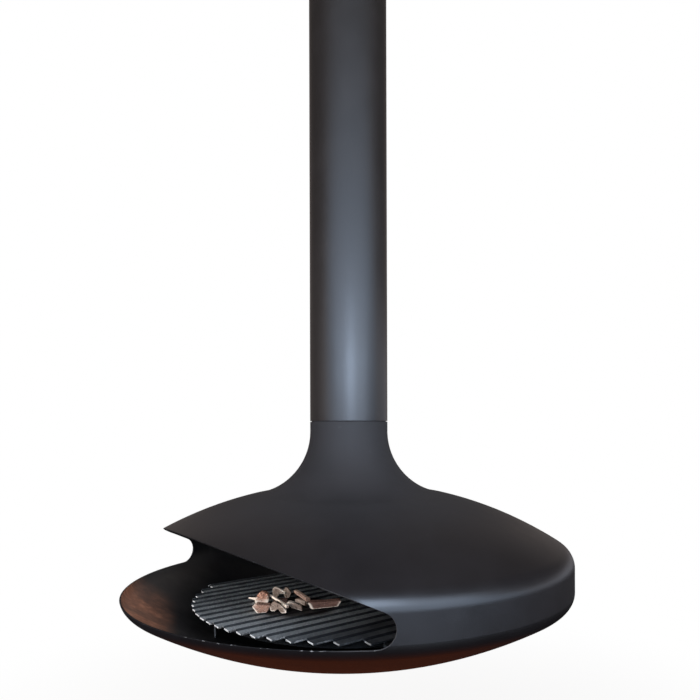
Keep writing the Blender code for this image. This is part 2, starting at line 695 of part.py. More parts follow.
def make_damper(hearth, damper, sleeve, steel, cast, brass):
    """Butterfly blade on a spindle in two bushes, with a lever that the poker reaches from the mouth."""
    bush_bore = hole_radius(SPINDLE_RADIUS, BUSH_FACETS)
    bush_radius = bush_bore + BUSH_WALL
    seat = SLEEVE_RADIUS + FIT
    bush = turned(
        [
            (bush_bore, BUSH_FLANGE_THICKNESS),
            (bush_radius + BUSH_FLANGE_WIDTH, BUSH_FLANGE_THICKNESS),
            (bush_radius + BUSH_FLANGE_WIDTH, 0.0),
            (bush_radius, 0.0),
            (bush_radius, -SLEEVE_WALL),
            (bush_bore, -SLEEVE_WALL),
        ],
        BUSH_FACETS,
    )
    seats = list(outwards(2, seat, -SPINDLE_DROP))
    pieces("damper_bush", bush, brass, hearth, seats)
    bore = turned(rod(hole_radius(bush_radius, BUSH_FACETS), -OVERRUN, OVERRUN), BUSH_FACETS)
    carve(sleeve, cutter("bush_bores", copies(bore, seats), hearth))

    along_x = Matrix.Rotation(QUARTER_TURN, 4, "Y")
    lever_side = seat + BUSH_FLANGE_THICKNESS + FIT
    spindle = turned(rod(SPINDLE_RADIUS, -lever_side, lever_side), BUSH_FACETS)
    spindle.transform(along_x)
    spindle = piece("damper_spindle", spindle, steel, damper)
    blade_radius = SLEEVE_BORE - BLADE_CLEARANCE
    blade_face = SPINDLE_RADIUS + FIT
    disc = turned(rod(blade_radius, blade_face, blade_face + BLADE_THICKNESS), FLUE_FACETS)
    disc.transform(FLAT_TO_FRONT)
    blade = piece("damper_blade", disc, steel, damper)

    screw_length = BLADE_THICKNESS + 2 * SPINDLE_RADIUS + 2 * FIT
    back_to_front = Matrix.Rotation(QUARTER_TURN, 4, "X")
    screw_face = -blade_face - BLADE_THICKNESS - FIT
    places = [
        Matrix.Translation((side * BLADE_SCREW_OFFSET, screw_face, 0.0)) @ back_to_front for side in (-1, 1)
    ]
    pieces("blade_screw", screw(BLADE_SCREW_RADIUS, screw_length, FASTENER_FACETS), steel, damper, places)
    drill = rod(hole_radius(BLADE_SCREW_RADIUS, FASTENER_FACETS), -screw_length - OVERRUN, OVERRUN)
    drill = cutter("blade_drill", copies(turned(drill, FASTENER_FACETS), places), damper)
    carve(blade, drill)
    carve(spindle, drill)

    # The link's straight sides touch both of its round ends
    lean = math.asin((LEVER_EYE_RADIUS - LEVER_HUB_RADIUS) / LEVER_LENGTH)
    outline = []
    for centre, radius, first, last in (
        (0.0, LEVER_HUB_RADIUS, -lean, HALF_TURN + lean),
        (-LEVER_LENGTH, LEVER_EYE_RADIUS, HALF_TURN + lean, FULL_TURN - lean),
    ):
        for step in range(LEVER_END_STEPS + 1):
            angle = first + (last - first) * step / LEVER_END_STEPS
            outline.append((radius * math.cos(angle), centre + radius * math.sin(angle)))
    hub = lever_side + FIT + LEVER_THICKNESS / 2
    lever_place = Matrix.Translation((hub, 0.0, 0.0)) @ Matrix.Rotation(LEVER_ANGLE, 4, "X") @ FLAT_TO_SIDE
    lever = piece("damper_lever", prism(outline, LEVER_THICKNESS, lever_place), cast, damper)
    eye = turned(rod(LEVER_EYE_HOLE_RADIUS, -OVERRUN, OVERRUN), BUSH_FACETS)
    eye.transform(lever_place @ Matrix.Translation((0.0, -LEVER_LENGTH, 0.0)))
    carve(lever, cutter("lever_eye", eye, damper))

    lever_screw = screw(LEVER_SCREW_RADIUS, LEVER_THICKNESS + SCREW_BITE, FASTENER_FACETS)
    screw_place = Matrix.Translation((hub + LEVER_THICKNESS / 2 + FIT, 0.0, 0.0)) @ along_x
    lever_screw.transform(screw_place)
    piece("lever_screw", lever_screw, steel, damper)
    drill = rod(
        hole_radius(LEVER_SCREW_RADIUS, FASTENER_FACETS), -LEVER_THICKNESS - SCREW_BITE - FIT, OVERRUN
    )
    drill = turned(drill, FASTENER_FACETS)
    drill.transform(screw_place)
    drill = cutter("lever_drill", drill, damper)
    carve(lever, drill)
    carve(spindle, drill)


def make_stand(hearth, cast, steel):
    """Flat-bar hoop under the grate, on legs whose feet follow the dish."""
    hoop_top = GRATE_UNDERSIDE - FIT
    bar = tube(STAND_RADIUS - STAND_BAR, STAND_RADIUS, hoop_top - STAND_HEIGHT, hoop_top)
    hoop = piece("stand_hoop", turned(bar, FLUE_FACETS), cast, hearth)
    dish_floor = BOWL_RUN[-1][1]
    leg_inside = STAND_RADIUS + FIT
    leg = prism(
        [
            (leg_inside, -STAND_LEG_WIDTH / 2),
            (leg_inside + STAND_BAR, -STAND_LEG_WIDTH / 2),
            (leg_inside + STAND_BAR, STAND_LEG_WIDTH / 2),
            (leg_inside, STAND_LEG_WIDTH / 2),
        ],
        hoop_top - dish_floor,
    )
    middle = (hoop_top + dish_floor) / 2
    first = -QUARTER_TURN + STAND_LEG_TURN
    legs = pieces("stand_leg", leg, cast, hearth, around(STAND_LEGS, 0.0, middle, first))
    floor = on_axis(inset(BOWL_RUN, SHEET + FIT))
    below = [(0.0, dish_floor - OVERRUN), (BODY_RADIUS, dish_floor - OVERRUN)]
    floor = cutter("dish_floor", turned(floor[::-1] + below[::-1], BODY_FACETS), hearth)

    bolt_height = hoop_top - STAND_HEIGHT / 2
    places = list(outwards(STAND_LEGS, leg_inside + STAND_BAR + FIT, bolt_height, first))
    bolt = screw(STAND_BOLT_RADIUS, 2 * STAND_BAR + 2 * FIT, BOLT_FACETS, crowned=False)
    pieces("stand_bolt", bolt, steel, hearth, places)
    drill = turned(rod(hole_radius(STAND_BOLT_RADIUS, BOLT_FACETS), -OVERRUN, OVERRUN), BOLT_FACETS)
    drill = cutter("stand_drill", copies(drill, places), hearth)
    carve(hoop, drill)
    for leg in legs:
        carve(leg, floor)
        carve(leg, drill)


def grate_creases():
    """Creases of the grate as (x, height, half length): a rib climbs slowly, drops fast and ends square."""
    pitch = 2 * GRATE_HALF_WIDTH / GRATE_RIBS
    creases = []
    for rib in range(GRATE_RIBS):
        foot = -GRATE_HALF_WIDTH + pitch * rib
        crest = foot + pitch * GRATE_RISE_share
        reach = math.sqrt(GRATE_RADIUS**2 - ((crest + foot + pitch) / 2) ** 2)
        if rib == 0:
            creases.append((foot, -GRATE_DEPTH / 2, reach))
        creases.append((crest, GRATE_DEPTH / 2, reach))
        creases.append((foot + pitch, -GRATE_DEPTH / 2, reach))
    return creases


def make_grate(grate, cast):
    """Corrugated grate, folded from one sheet and cut to a disc whose edge steps from rib to rib."""
    form = bmesh.new()
    rows = []
    for x, height, reach in grate_creases():
        row = []
        for side, face in ((-1, -1), (1, -1), (1, 1), (-1, 1)):
            row.append(form.verts.new((x, side * reach, height + face * GRATE_THICKNESS / 2)))
        rows.append(row)
    for row, follower in zip(rows, rows[1:]):
        for corner in range(4):
            after = (corner + 1) % 4
            form.faces.new((row[corner], row[after], follower[after], follower[corner]))
    form.faces.new(rows[0])
    form.faces.new(rows[-1])
    plate = mesh_from(form)
    plate.transform(Matrix.Rotation(GRATE_TURN, 4, "Z"))
    piece("fire_grate", plate, cast, grate)


# Kindling, one row each: place as shares of the grate's radius, turn in degrees, length and width as
# shares of the longest and the widest stick, height, and height above the ribs
STICK_shares = (
    ((0.060, -0.651), 15, 0.468, 1.000, BLOCK_HEIGHT, 0.0),
    ((0.214, -0.614), 35, 0.403, 1.000, BLOCK_HEIGHT, 0.0),
    ((0.144, -0.495), 10, 0.516, 0.706, STICK_HEIGHT, 0.0),
    ((0.216, -0.321), 69, 0.677, 0.882, BLOCK_HEIGHT, 0.0),
    ((-0.181, -0.442), 35, 0.387, 0.765, STICK_HEIGHT, 0.0),
    ((-0.092, -0.360), 96, 0.323, 0.529, STICK_HEIGHT, 0.0),
    ((-0.093, -0.591), -20, 0.355, 0.941, BLOCK_HEIGHT, 0.0),
    ((-0.214, -0.572), 50, 0.290, 0.353, TWIG_HEIGHT, 0.0),
    ((-0.019, -0.498), 70, 0.323, 0.588, STICK_HEIGHT, 0.0),
    ((0.070, -0.409), -12, 0.500, 0.471, STICK_HEIGHT, 0.0),
    ((0.065, -0.509), -5, 1.000, 0.265, TWIG_HEIGHT, STICK_HEIGHT),
    ((0.009, -0.386), -9, 0.774, 0.529, TWIG_HEIGHT, STICK_HEIGHT),
)
STICK_TAPER_share = 0.14


def make_kindling(grate, wood):
    """Split sticks: each is wider at its foot than at its top and narrower at one end than at the other."""
    for number, ((x, y), degrees, long, wide, height, lift) in enumerate(STICK_shares, 1):
        length = STICK_LENGTH * long
        width = STICK_WIDTH * wide
        base = GRATE_TOP - GRATE_HEIGHT + FIT
        if lift:
            base += lift + FIT
        seat = Matrix.Translation((GRATE_RADIUS * x, GRATE_RADIUS * y, base))
        place = seat @ Matrix.Rotation(math.radians(degrees), 4, "Z")
        taper = width * STICK_TAPER_share
        form = bmesh.new()
        corners = []
        for level, narrowing in ((0.0, 0.0), (height, taper)):
            half_length = length / 2 - narrowing
            half_width = width / 2 - narrowing
            for along, across in (
                (-half_length, -half_width),
                (half_length, -half_width + taper),
                (half_length, half_width - taper),
                (-half_length, half_width),
            ):
                corners.append(form.verts.new((along, across, level)))
        form.faces.new(corners[3::-1])
        form.faces.new(corners[4:])
        for side in range(4):
            follower = (side + 1) % 4
            form.faces.new((corners[side], corners[follower], corners[follower + 4], corners[side + 4]))
        piece(f"kindling_{number}", mesh_from(form), wood, grate, place)


def main():
    clear_scene()
    black = finish("black_steel", (0.030, 0.030, 0.034), 0.45, 0.60)
    inner_steel = finish("liner_steel", (0.42, 0.42, 0.42), 0.35, 1.0)
    steel = finish("bare_steel", (0.33, 0.33, 0.34), 0.40, 1.0)
    brass = finish("bronze", (0.50, 0.36, 0.18), 0.40, 1.0)
    cast = finish("grate_steel", (0.060, 0.068, 0.075), 0.55, 0.80)
    rope = finish("seal_rope", (0.62, 0.60, 0.55), 0.95, 0.0)
    wood = finish("split_wood", (0.30, 0.17, 0.11), 0.85, 0.0)

    flue = datum("flue", ORIGIN)
    hearth = datum("hearth_swivel", (0.0, 0.0, -FLUE_DROP), flue)
    cage = datum("cage_swivel", (0.0, 0.0, -FLUE_DROP + BALL_RISE), flue)
    damper = datum("damper_pivot", (0.0, 0.0, -SPINDLE_DROP), hearth)
    grate = datum("grate_seat", (0.0, 0.0, GRATE_HEIGHT), hearth)

    collar_drill = make_ceiling_fixing(flue, steel, black)
    foot = make_flue(flue, black, inner_steel, steel, collar_drill)
    make_bearing(foot, cage, hearth, steel)
    sleeve = make_hanger(hearth, steel, rope)
    make_shells(hearth, black)
    make_damper(hearth, damper, sleeve, steel, cast, brass)
    make_stand(hearth, cast, steel)
    make_grate(grate, cast)
    make_kindling(grate, wood)


main()
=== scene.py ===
"""Hanging fireplace: charcoal-painted hearth, open mouth, corrugated grate and kindling, ready to render.

Everything is in metres in the frame of the solids: the ceiling is at height 0, +Z is up and the mouth
faces -Y. Round pieces are measured from the flue's axis, and their angles are counted from the front
of the mouth, anticlockwise from above.
"""

import json
import math

import bmesh
import bpy
import numpy as np
from mathutils import Matrix, Vector


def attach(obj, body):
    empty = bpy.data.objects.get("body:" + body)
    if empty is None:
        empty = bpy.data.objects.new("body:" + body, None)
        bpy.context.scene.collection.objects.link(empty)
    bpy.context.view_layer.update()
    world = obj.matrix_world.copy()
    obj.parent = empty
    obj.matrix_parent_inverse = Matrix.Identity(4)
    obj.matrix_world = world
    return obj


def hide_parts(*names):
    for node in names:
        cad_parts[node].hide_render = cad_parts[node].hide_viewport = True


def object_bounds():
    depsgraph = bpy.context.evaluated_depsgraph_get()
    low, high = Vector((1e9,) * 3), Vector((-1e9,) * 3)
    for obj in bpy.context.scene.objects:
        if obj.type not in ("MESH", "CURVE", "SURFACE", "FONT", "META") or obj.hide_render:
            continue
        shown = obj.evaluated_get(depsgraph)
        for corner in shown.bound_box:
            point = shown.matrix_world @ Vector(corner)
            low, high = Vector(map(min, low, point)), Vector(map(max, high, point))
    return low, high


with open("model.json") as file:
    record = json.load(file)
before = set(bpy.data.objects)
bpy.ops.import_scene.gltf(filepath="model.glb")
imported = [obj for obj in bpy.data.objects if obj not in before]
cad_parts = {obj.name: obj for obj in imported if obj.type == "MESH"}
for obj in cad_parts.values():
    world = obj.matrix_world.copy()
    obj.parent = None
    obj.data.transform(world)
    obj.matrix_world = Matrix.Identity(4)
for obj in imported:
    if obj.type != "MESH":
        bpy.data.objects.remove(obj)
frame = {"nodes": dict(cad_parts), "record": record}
solid_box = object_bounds()

FULL_TURN = math.tau

# Heights and sizes of the finished object
SEAM = -1.400
SEAM_GAP = 0.002
CASING_RADIUS = 0.110
CASING_WALL = 0.003
CASING_TOP = -0.0103
BODY_RADIUS = 0.617
SHEET = 0.004
NECK_LENGTH = 0.0275
FLARE_RADIUS = 0.178
FLARE_ANGLE = math.radians(80.3)
SHOULDER_RADIUS = 0.380
SHOULDER_ANGLE = math.radians(76.3)
RIM_RADIUS = 0.054
RIM_ANGLE = math.radians(57.7)
BAND_HEIGHT = 0.062
FOOT_RADIUS = 0.040
DISH_ANGLE = math.radians(58.8)
MOUTH_REACH = 0.363
MOUTH_END_RADIUS = 0.0394
MOUTH_RISE = math.radians(26.0)
LIP_DROP = 0.0088
GRATE_RADIUS = 0.430
GRATE_WIDTH = 0.7542
GRATE_RIBS = 18
GRATE_PITCH = GRATE_WIDTH / GRATE_RIBS
GRATE_FOOT, GRATE_CREST, GRATE_LEDGE = -0.07, 0.31, 0.36
GRATE_LEDGE_HEIGHT = 0.26
GRATE_MEAN_HEIGHT = 0.32
GRATE_BEND = 0.0008
GRATE_DEPTH = 0.007
GRATE_THICKNESS = 0.004
GRATE_TURN = math.radians(5.0)
GRATE_BELOW_LIP = 0.042
GRATE_BURR = 0.0006
STAND_RADIUS = 0.372
STAND_BAR = 0.004
STAND_BAR_EASED = 0.0009
STAND_HEIGHT = 0.025
STAND_LEG_WIDTH = 0.024
STAND_LEG_TURN = math.radians(-19.0)
STAND_LEGS = 4
FIT = 0.0003
SPIGOT_GAP = 0.0015
SPIGOT_WALL = 0.002
SPIGOT_RISE = 0.012
SPIGOT_DROP = 0.0025
CUT_BULGE = 0.0007
CASING_EASED = 0.0005
# Middle of the dark patch under the sticks: char and their painted shadow
CHAR_AND_SHADOW_PLACE = (0.030, -0.182)
# Radii over which the neck's paler coat, partly painted sheen, fades out over the hood
NECK_SHEEN_ENDS = (0.56, 0.24)

# The camera stands at this angle and the light falls in from about this side, so the painted light and
# shade, the rust, ash and rubbed places are laid out by that direction and its right
VIEW_TURN = math.radians(56.99)
VIEW_SIDE = (math.sin(VIEW_TURN), -math.cos(VIEW_TURN))
VIEW_RIGHT = (math.cos(VIEW_TURN), math.sin(VIEW_TURN))


# Surfaces

def direction(turn):
    """Unit vectors on the circle, counted from the front: (sine, minus cosine)."""
    return np.stack([np.sin(turn), -np.cos(turn)], axis=-1)


def measured(x, y, way):
    """Distance along a level direction."""
    return x * way[0] + y * way[1]


def lattice(points, rows_close, columns_close):
    """Corners and quads of a grid of points; a closed side joins its last line to its first."""
    rows, columns = points.shape[:2]
    index = np.arange(rows * columns).reshape(rows, columns)
    if rows_close:
        index = np.vstack([index, index[:1]])
    if columns_close:
        index = np.hstack([index, index[:, :1]])
    quads = np.stack([index[:-1, :-1], index[1:, :-1], index[1:, 1:], index[:-1, 1:]], axis=-1)
    return points.reshape(-1, 3), quads.reshape(-1, 4)


def make_piece(name, patches, finishes, body, nodes, crease=40.0, values=None):
    """Object from grid patches, each (points, rows close, columns close, finish number).

    Points that coincide are merged, so patches that share an edge become one closed skin.
    """
    corners, quads, numbers = [], [], []
    offset = 0
    for points, rows_close, columns_close, number in patches:
        patch_corners, patch_quads = lattice(np.asarray(points, float), rows_close, columns_close)
        corners.append(patch_corners)
        quads.append(patch_quads + offset)
        numbers.append(np.full(len(patch_quads), number))
        offset += len(patch_corners)
    corners, quads, numbers = np.concatenate(corners), np.concatenate(quads), np.concatenate(numbers)
    mesh = bpy.data.meshes.new(name)
    mesh.from_pydata(corners, [], quads)
    mesh.polygons.foreach_set("material_index", numbers.astype(np.int32))
    for key, numbers_at_corners in (values or {}).items():
        layer = mesh.attributes.new(key, "FLOAT", "POINT")
        layer.data.foreach_set("value", np.asarray(numbers_at_corners, np.float32).ravel())
    form = bmesh.new()
    form.from_mesh(mesh)
    bmesh.ops.remove_doubles(form, verts=form.verts, dist=2e-6)
    bmesh.ops.dissolve_degenerate(form, edges=form.edges, dist=1e-7)
    bmesh.ops.recalc_face_normals(form, faces=form.faces)
    form.to_mesh(mesh)
    form.free()
    mesh.shade_smooth()
    mesh.set_sharp_from_angle(angle=math.radians(crease))
    for finish in finishes:
        mesh.materials.append(finish)
    thing = bpy.data.objects.new(name, mesh)
    bpy.context.scene.collection.objects.link(thing)
    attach(thing, body)
    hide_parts(*nodes)


def rounded(corners, radius, steps=5):
    """Closed outline with its corners rounded: each corner becomes a parabola that touches both sides."""
    corners = np.asarray(corners, float)
    share = np.linspace(0.0, 1.0, steps)[:, None]
    outline = []
    for before, corner, after in zip(np.roll(corners, 1, 0), corners, np.roll(corners, -1, 0)):
        back, ahead = before - corner, after - corner
        back_length, ahead_length = np.linalg.norm(back), np.linalg.norm(ahead)
        reach = min(radius, 0.45 * back_length, 0.45 * ahead_length)
        start = corner + back / back_length * reach
        end = corner + ahead / ahead_length * reach
        outline.append((1 - share) ** 2 * start + 2 * share * (1 - share) * corner + share**2 * end)
    return np.concatenate(outline)


def spun(outline, turns):
    """Grid of an outline of (radius, height) carried round the axis: x, y = radius times direction."""
    outline = np.asarray(outline, float)
    ways = direction(turns)
    grid = np.empty((len(outline), len(turns), 3))
    grid[..., :2] = outline[:, None, :1] * ways[None]
    grid[..., 2] = outline[:, None, 1]
    return grid


def whole_ring(segments):
    """Evenly spaced angles of a full turn."""
    return np.linspace(0.0, FULL_TURN, segments, endpoint=False)


def ring_piece(name, outline, segments, finish, body, nodes):
    """Closed outline spun a full turn."""
    grid = spun(outline, whole_ring(segments))
    make_piece(name, [(grid, True, True, 0)], [finish], body, nodes)


def tube_outline(inner, outer, bottom, top, edge):
    """Closed outline of a tube's wall with its four edges eased."""
    return rounded([(outer, top), (outer, bottom), (inner, bottom), (inner, top)], edge)


# Shader nodes

class Wire:
    """An output socket that Python's arithmetic works on: each sign adds its Math node."""

    def __init__(self, finish, socket):
        self.finish = finish
        self.socket = socket

    def maths(self, operation, *values, clamp=False):
        settings = {"operation": operation, "use_clamp": clamp}
        return self.finish.node("ShaderNodeMath", settings, dict(enumerate(values)))

    def __add__(self, other):
        return self.maths("ADD", self, other)

    def __sub__(self, other):
        return self.maths("SUBTRACT", self, other)

    def __rsub__(self, other):
        return self.maths("SUBTRACT", other, self)

    def __mul__(self, other):
        return self.maths("MULTIPLY", self, other)

    def __truediv__(self, other):
        return self.maths("DIVIDE", self, other)

    def __pow__(self, other):
        return self.maths("POWER", self, other)

    __radd__ = __add__
    __rmul__ = __mul__

    def held(self):
        """The value kept between 0 and 1."""
        return self.maths("ADD", self, 0.0, clamp=True)

    def phase(self):
        """The value without its whole part."""
        return self.maths("FRACT", self)

    def step(self, low, high):
        """0 below low, 1 above high and smooth between; with low above high it falls instead."""
        settings = {"interpolation_type": "SMOOTHSTEP"}
        ends = (low, high, 0.0, 1.0) if low < high else (high, low, 1.0, 0.0)
        return self.finish.node("ShaderNodeMapRange", settings, dict(enumerate((self, *ends))))


class Finish:
    """One node tree, a material's by default, with short ways to add what it needs."""

    def __init__(self, name, tree=None):
        if tree is None:
            self.material = bpy.data.materials.new(name)
            self.material.use_nodes = True
            tree = self.material.node_tree
        self.tree = tree
        self.tree.nodes.clear()
        self.spot = None

    def node(self, kind, settings=None, values=None, output=0):
        """Adds a node: its settings first, then a number, colour or wire for each socket."""
        made = self.tree.nodes.new(kind)
        for key, value in (settings or {}).items():
            setattr(made, key, value)
        for key, value in (values or {}).items():
            socket = made.inputs[key]
            if isinstance(value, Wire):
                self.tree.links.new(value.socket, socket)
            elif isinstance(value, tuple) and len(value) == 3 and socket.type == "RGBA":
                socket.default_value = (*value, 1.0)
            else:
                socket.default_value = value
        return Wire(self, made.outputs[output]) if len(made.outputs) else None

    def here(self):
        """The place on the object, in metres."""
        if self.spot is None:
            self.spot = self.node("ShaderNodeTexCoord", output=3)
        return self.spot

    def axes(self, vector=None):
        """The x, y and z of a vector."""
        split = self.node("ShaderNodeSeparateXYZ", None, {0: vector or self.here()})
        outputs = split.socket.node.outputs
        return [Wire(self, outputs[number]) for number in range(3)]

    def stretched(self, scale, turn=(0.0, 0.0, 0.0)):
        """The place with each axis scaled, for a pattern that is longer one way than the other."""
        return self.node("ShaderNodeMapping", None, {0: self.here(), 2: turn, 3: scale})

    def noise(self, scale, detail, roughness, vector=None):
        """Cloudy pattern about 0.5, its scale in patches to the metre."""
        return self.node(
            "ShaderNodeTexNoise",
            None,
            {"Vector": vector or self.here(), "Scale": scale, "Detail": detail, "Roughness": roughness},
        )

    def blend(self, share, first, second):
        """Colour that goes from the first to the second with the share."""
        settings = {"data_type": "RGBA", "clamp_factor": True}
        return self.node("ShaderNodeMix", settings, {0: share, 6: first, 7: second}, 2)

    def bump(self, height, distance, strength):
        """Normal of a surface that rises by the distance where the height is 1."""
        values = {"Strength": strength, "Distance": distance, "Height": height}
        return self.node("ShaderNodeBump", None, values)

    def surface(self, **values):
        """The Principled shader and the output; socket names are written with _ for a space."""
        named = {key.replace("_", " "): value for key, value in values.items()}
        shader = self.node("ShaderNodeBsdfPrincipled", None, named)
        self.node("ShaderNodeOutputMaterial", None, {0: shader})
        return self.material


# Finishes

def scaled(colour, share):
    """A colour made lighter or darker."""
    return tuple(share * part for part in colour)


def heatproof_paint(name, coat, gloss, neck_coat_and_sheen=None):
    """Matt heatproof paint: cloudy tone, fine orange peel, a few rubbed and dusty places.

    A coat is (dark, pale, roughness). A second coat, paler and rougher, covers the neck and thins out over
    the hood; its paleness is partly painted sheen on the neck and the dome round it.
    """
    paint = Finish(name)
    clouds = paint.noise(3.1, 4.0, 0.55)
    patches = paint.noise(13.0, 3.0, 0.6)
    grain = paint.noise(900.0, 2.0, 0.6)
    peel = paint.noise(420.0, 1.0, 0.4)
    rubbed = paint.noise(46.0, 5.0, 0.65).step(0.62, 0.74)
    tone = (clouds * 0.65 + patches * 0.35).step(0.30, 0.70)

    def coated(dark, pale):
        colour = paint.blend(tone, dark, pale)
        colour = paint.blend(grain.step(0.35, 0.85) * 0.22, colour, scaled(pale, 1.9))
        return paint.blend(rubbed * 0.10, colour, scaled(pale, 3.0))

    dark, pale, rough = coat
    colour = coated(dark, pale)
    if neck_coat_and_sheen:
        # Paler and rougher towards the neck: partly the neck's coat, partly painted sheen
        x, y, _ = paint.axes()
        inwards = ((x * x + y * y) ** 0.5).step(*NECK_SHEEN_ENDS)
        dark, pale, neck_rough = neck_coat_and_sheen
        colour = paint.blend(inwards, colour, coated(dark, pale))
        rough = inwards * (neck_rough - rough) + rough
    rough = rough + (patches - 0.5) * 0.10 + (grain - 0.5) * 0.08 - rubbed * 0.05
    normal = paint.bump(peel * 0.7 + grain * 0.3, 0.00022, 0.55)
    return paint.surface(
        Base_Color=colour, Roughness=rough.held(), Metallic=0.0, Specular_IOR_Level=gloss, Normal=normal
    )


def smoked_steel():
    """Inside of the hearth: sooty steel, with pale grey ash and brown rusty steel low down on the left,
    both partly a painted pool of light that falls in through the mouth.
    """
    steel = Finish("smoked_steel")
    x, y, z = steel.axes()
    streaks = steel.noise(9.0, 6.0, 0.62, steel.stretched((1.0, 1.0, 0.35)))
    specks = steel.noise(160.0, 4.0, 0.7)
    scale = steel.noise(38.0, 5.0, 0.6)
    right, near = measured(x, y, VIEW_RIGHT), measured(x, y, VIEW_SIDE)
    low = z.step(SEAM - 0.420, SEAM - 0.450)
    # Brown patch on the far left, low down: rust, and a painted pool of light whose edge is the hood's
    # shadow
    lit_rust_place = (near * 0.25 - right).step(0.478, 0.560) * near.step(-0.12, 0.07) * low
    rust_and_light = (lit_rust_place * (0.42 + streaks.step(0.30, 0.62) * 0.70)).held()
    brown = steel.blend(scale.step(0.35, 0.7), (0.360, 0.150, 0.085), (0.620, 0.285, 0.170))
    # Dark soot, which beyond the painted pool of light also stands for shade
    soot_and_shade = steel.blend(streaks.step(0.3, 0.75), (0.006, 0.006, 0.007), (0.022, 0.020, 0.020))
    # Pale grey low down on the left: ash, partly painted light on the lit side
    ash_and_light = right.step(-0.42, -0.60) * (0.55 + streaks * 0.5)
    ash_and_light = ash_and_light + near.step(0.05, 0.20) * right.step(-0.34, -0.46) * 0.35
    soot_and_shade = steel.blend((ash_and_light * low).held(), soot_and_shade, (0.100, 0.088, 0.080))
    colour = steel.blend(rust_and_light, soot_and_shade, brown)
    colour = steel.blend(specks.step(0.66, 0.80) * 0.35, colour, (0.12, 0.11, 0.10))
    rough = 0.62 + (scale - 0.5) * 0.25 - rust_and_light * 0.12
    normal = steel.bump(scale * 0.6 + specks * 0.4, 0.0005, 0.6)
    return steel.surface(
        Base_Color=colour, Roughness=rough.held(), Metallic=0.0, Specular_IOR_Level=0.45, Normal=normal
    )


def rubbed_and_highlit_edge():
    """Edge of the painted sheet: bright patches on the lip, partly rubbed steel and partly painted glints,
    and a painted highlight along the right end, stronger up the hood.
    """
    edge = Finish("rubbed_and_highlit_edge")
    x, y, z = edge.axes()
    right = measured(x, y, VIEW_RIGHT)
    lip = z.step(LIP + 0.012, LIP + 0.002) * right.step(-0.36, -0.31)
    # Bright patches on the lip's right part: rubbed steel and painted glints
    bright_patches = edge.noise(70.0, 4.0, 0.7).step(0.55, 0.68) * (0.05 + 0.95 * lip)
    fine = edge.noise(300.0, 3.0, 0.6)
    # Painted highlight along the edge's right end, stronger higher up the hood
    end = right.step(-0.08, 0.02) * (0.12 + 0.33 * z.step(LIP + 0.10, LIP + 0.14))
    bare_and_highlit = (bright_patches * 0.9 + end).held()
    colour = edge.blend(bare_and_highlit, (0.008, 0.008, 0.009), (0.30, 0.30, 0.31))
    rough = 0.60 - bright_patches * 0.18 + (fine - 0.5) * 0.1
    normal = edge.bump(fine, 0.0002, 0.5)
    return edge.surface(
        Base_Color=colour, Roughness=rough.held(), Metallic=0.0, Specular_IOR_Level=0.22, Normal=normal
    )


def rib_phase(plate):
    """Place within a rib, 0 to 1 from trough to trough, counted across the ribs."""
    x, y, _ = plate.axes()
    across = measured(x, y, (math.cos(GRATE_TURN), math.sin(GRATE_TURN)))
    return ((across + GRATE_WIDTH / 2) / GRATE_PITCH).phase()


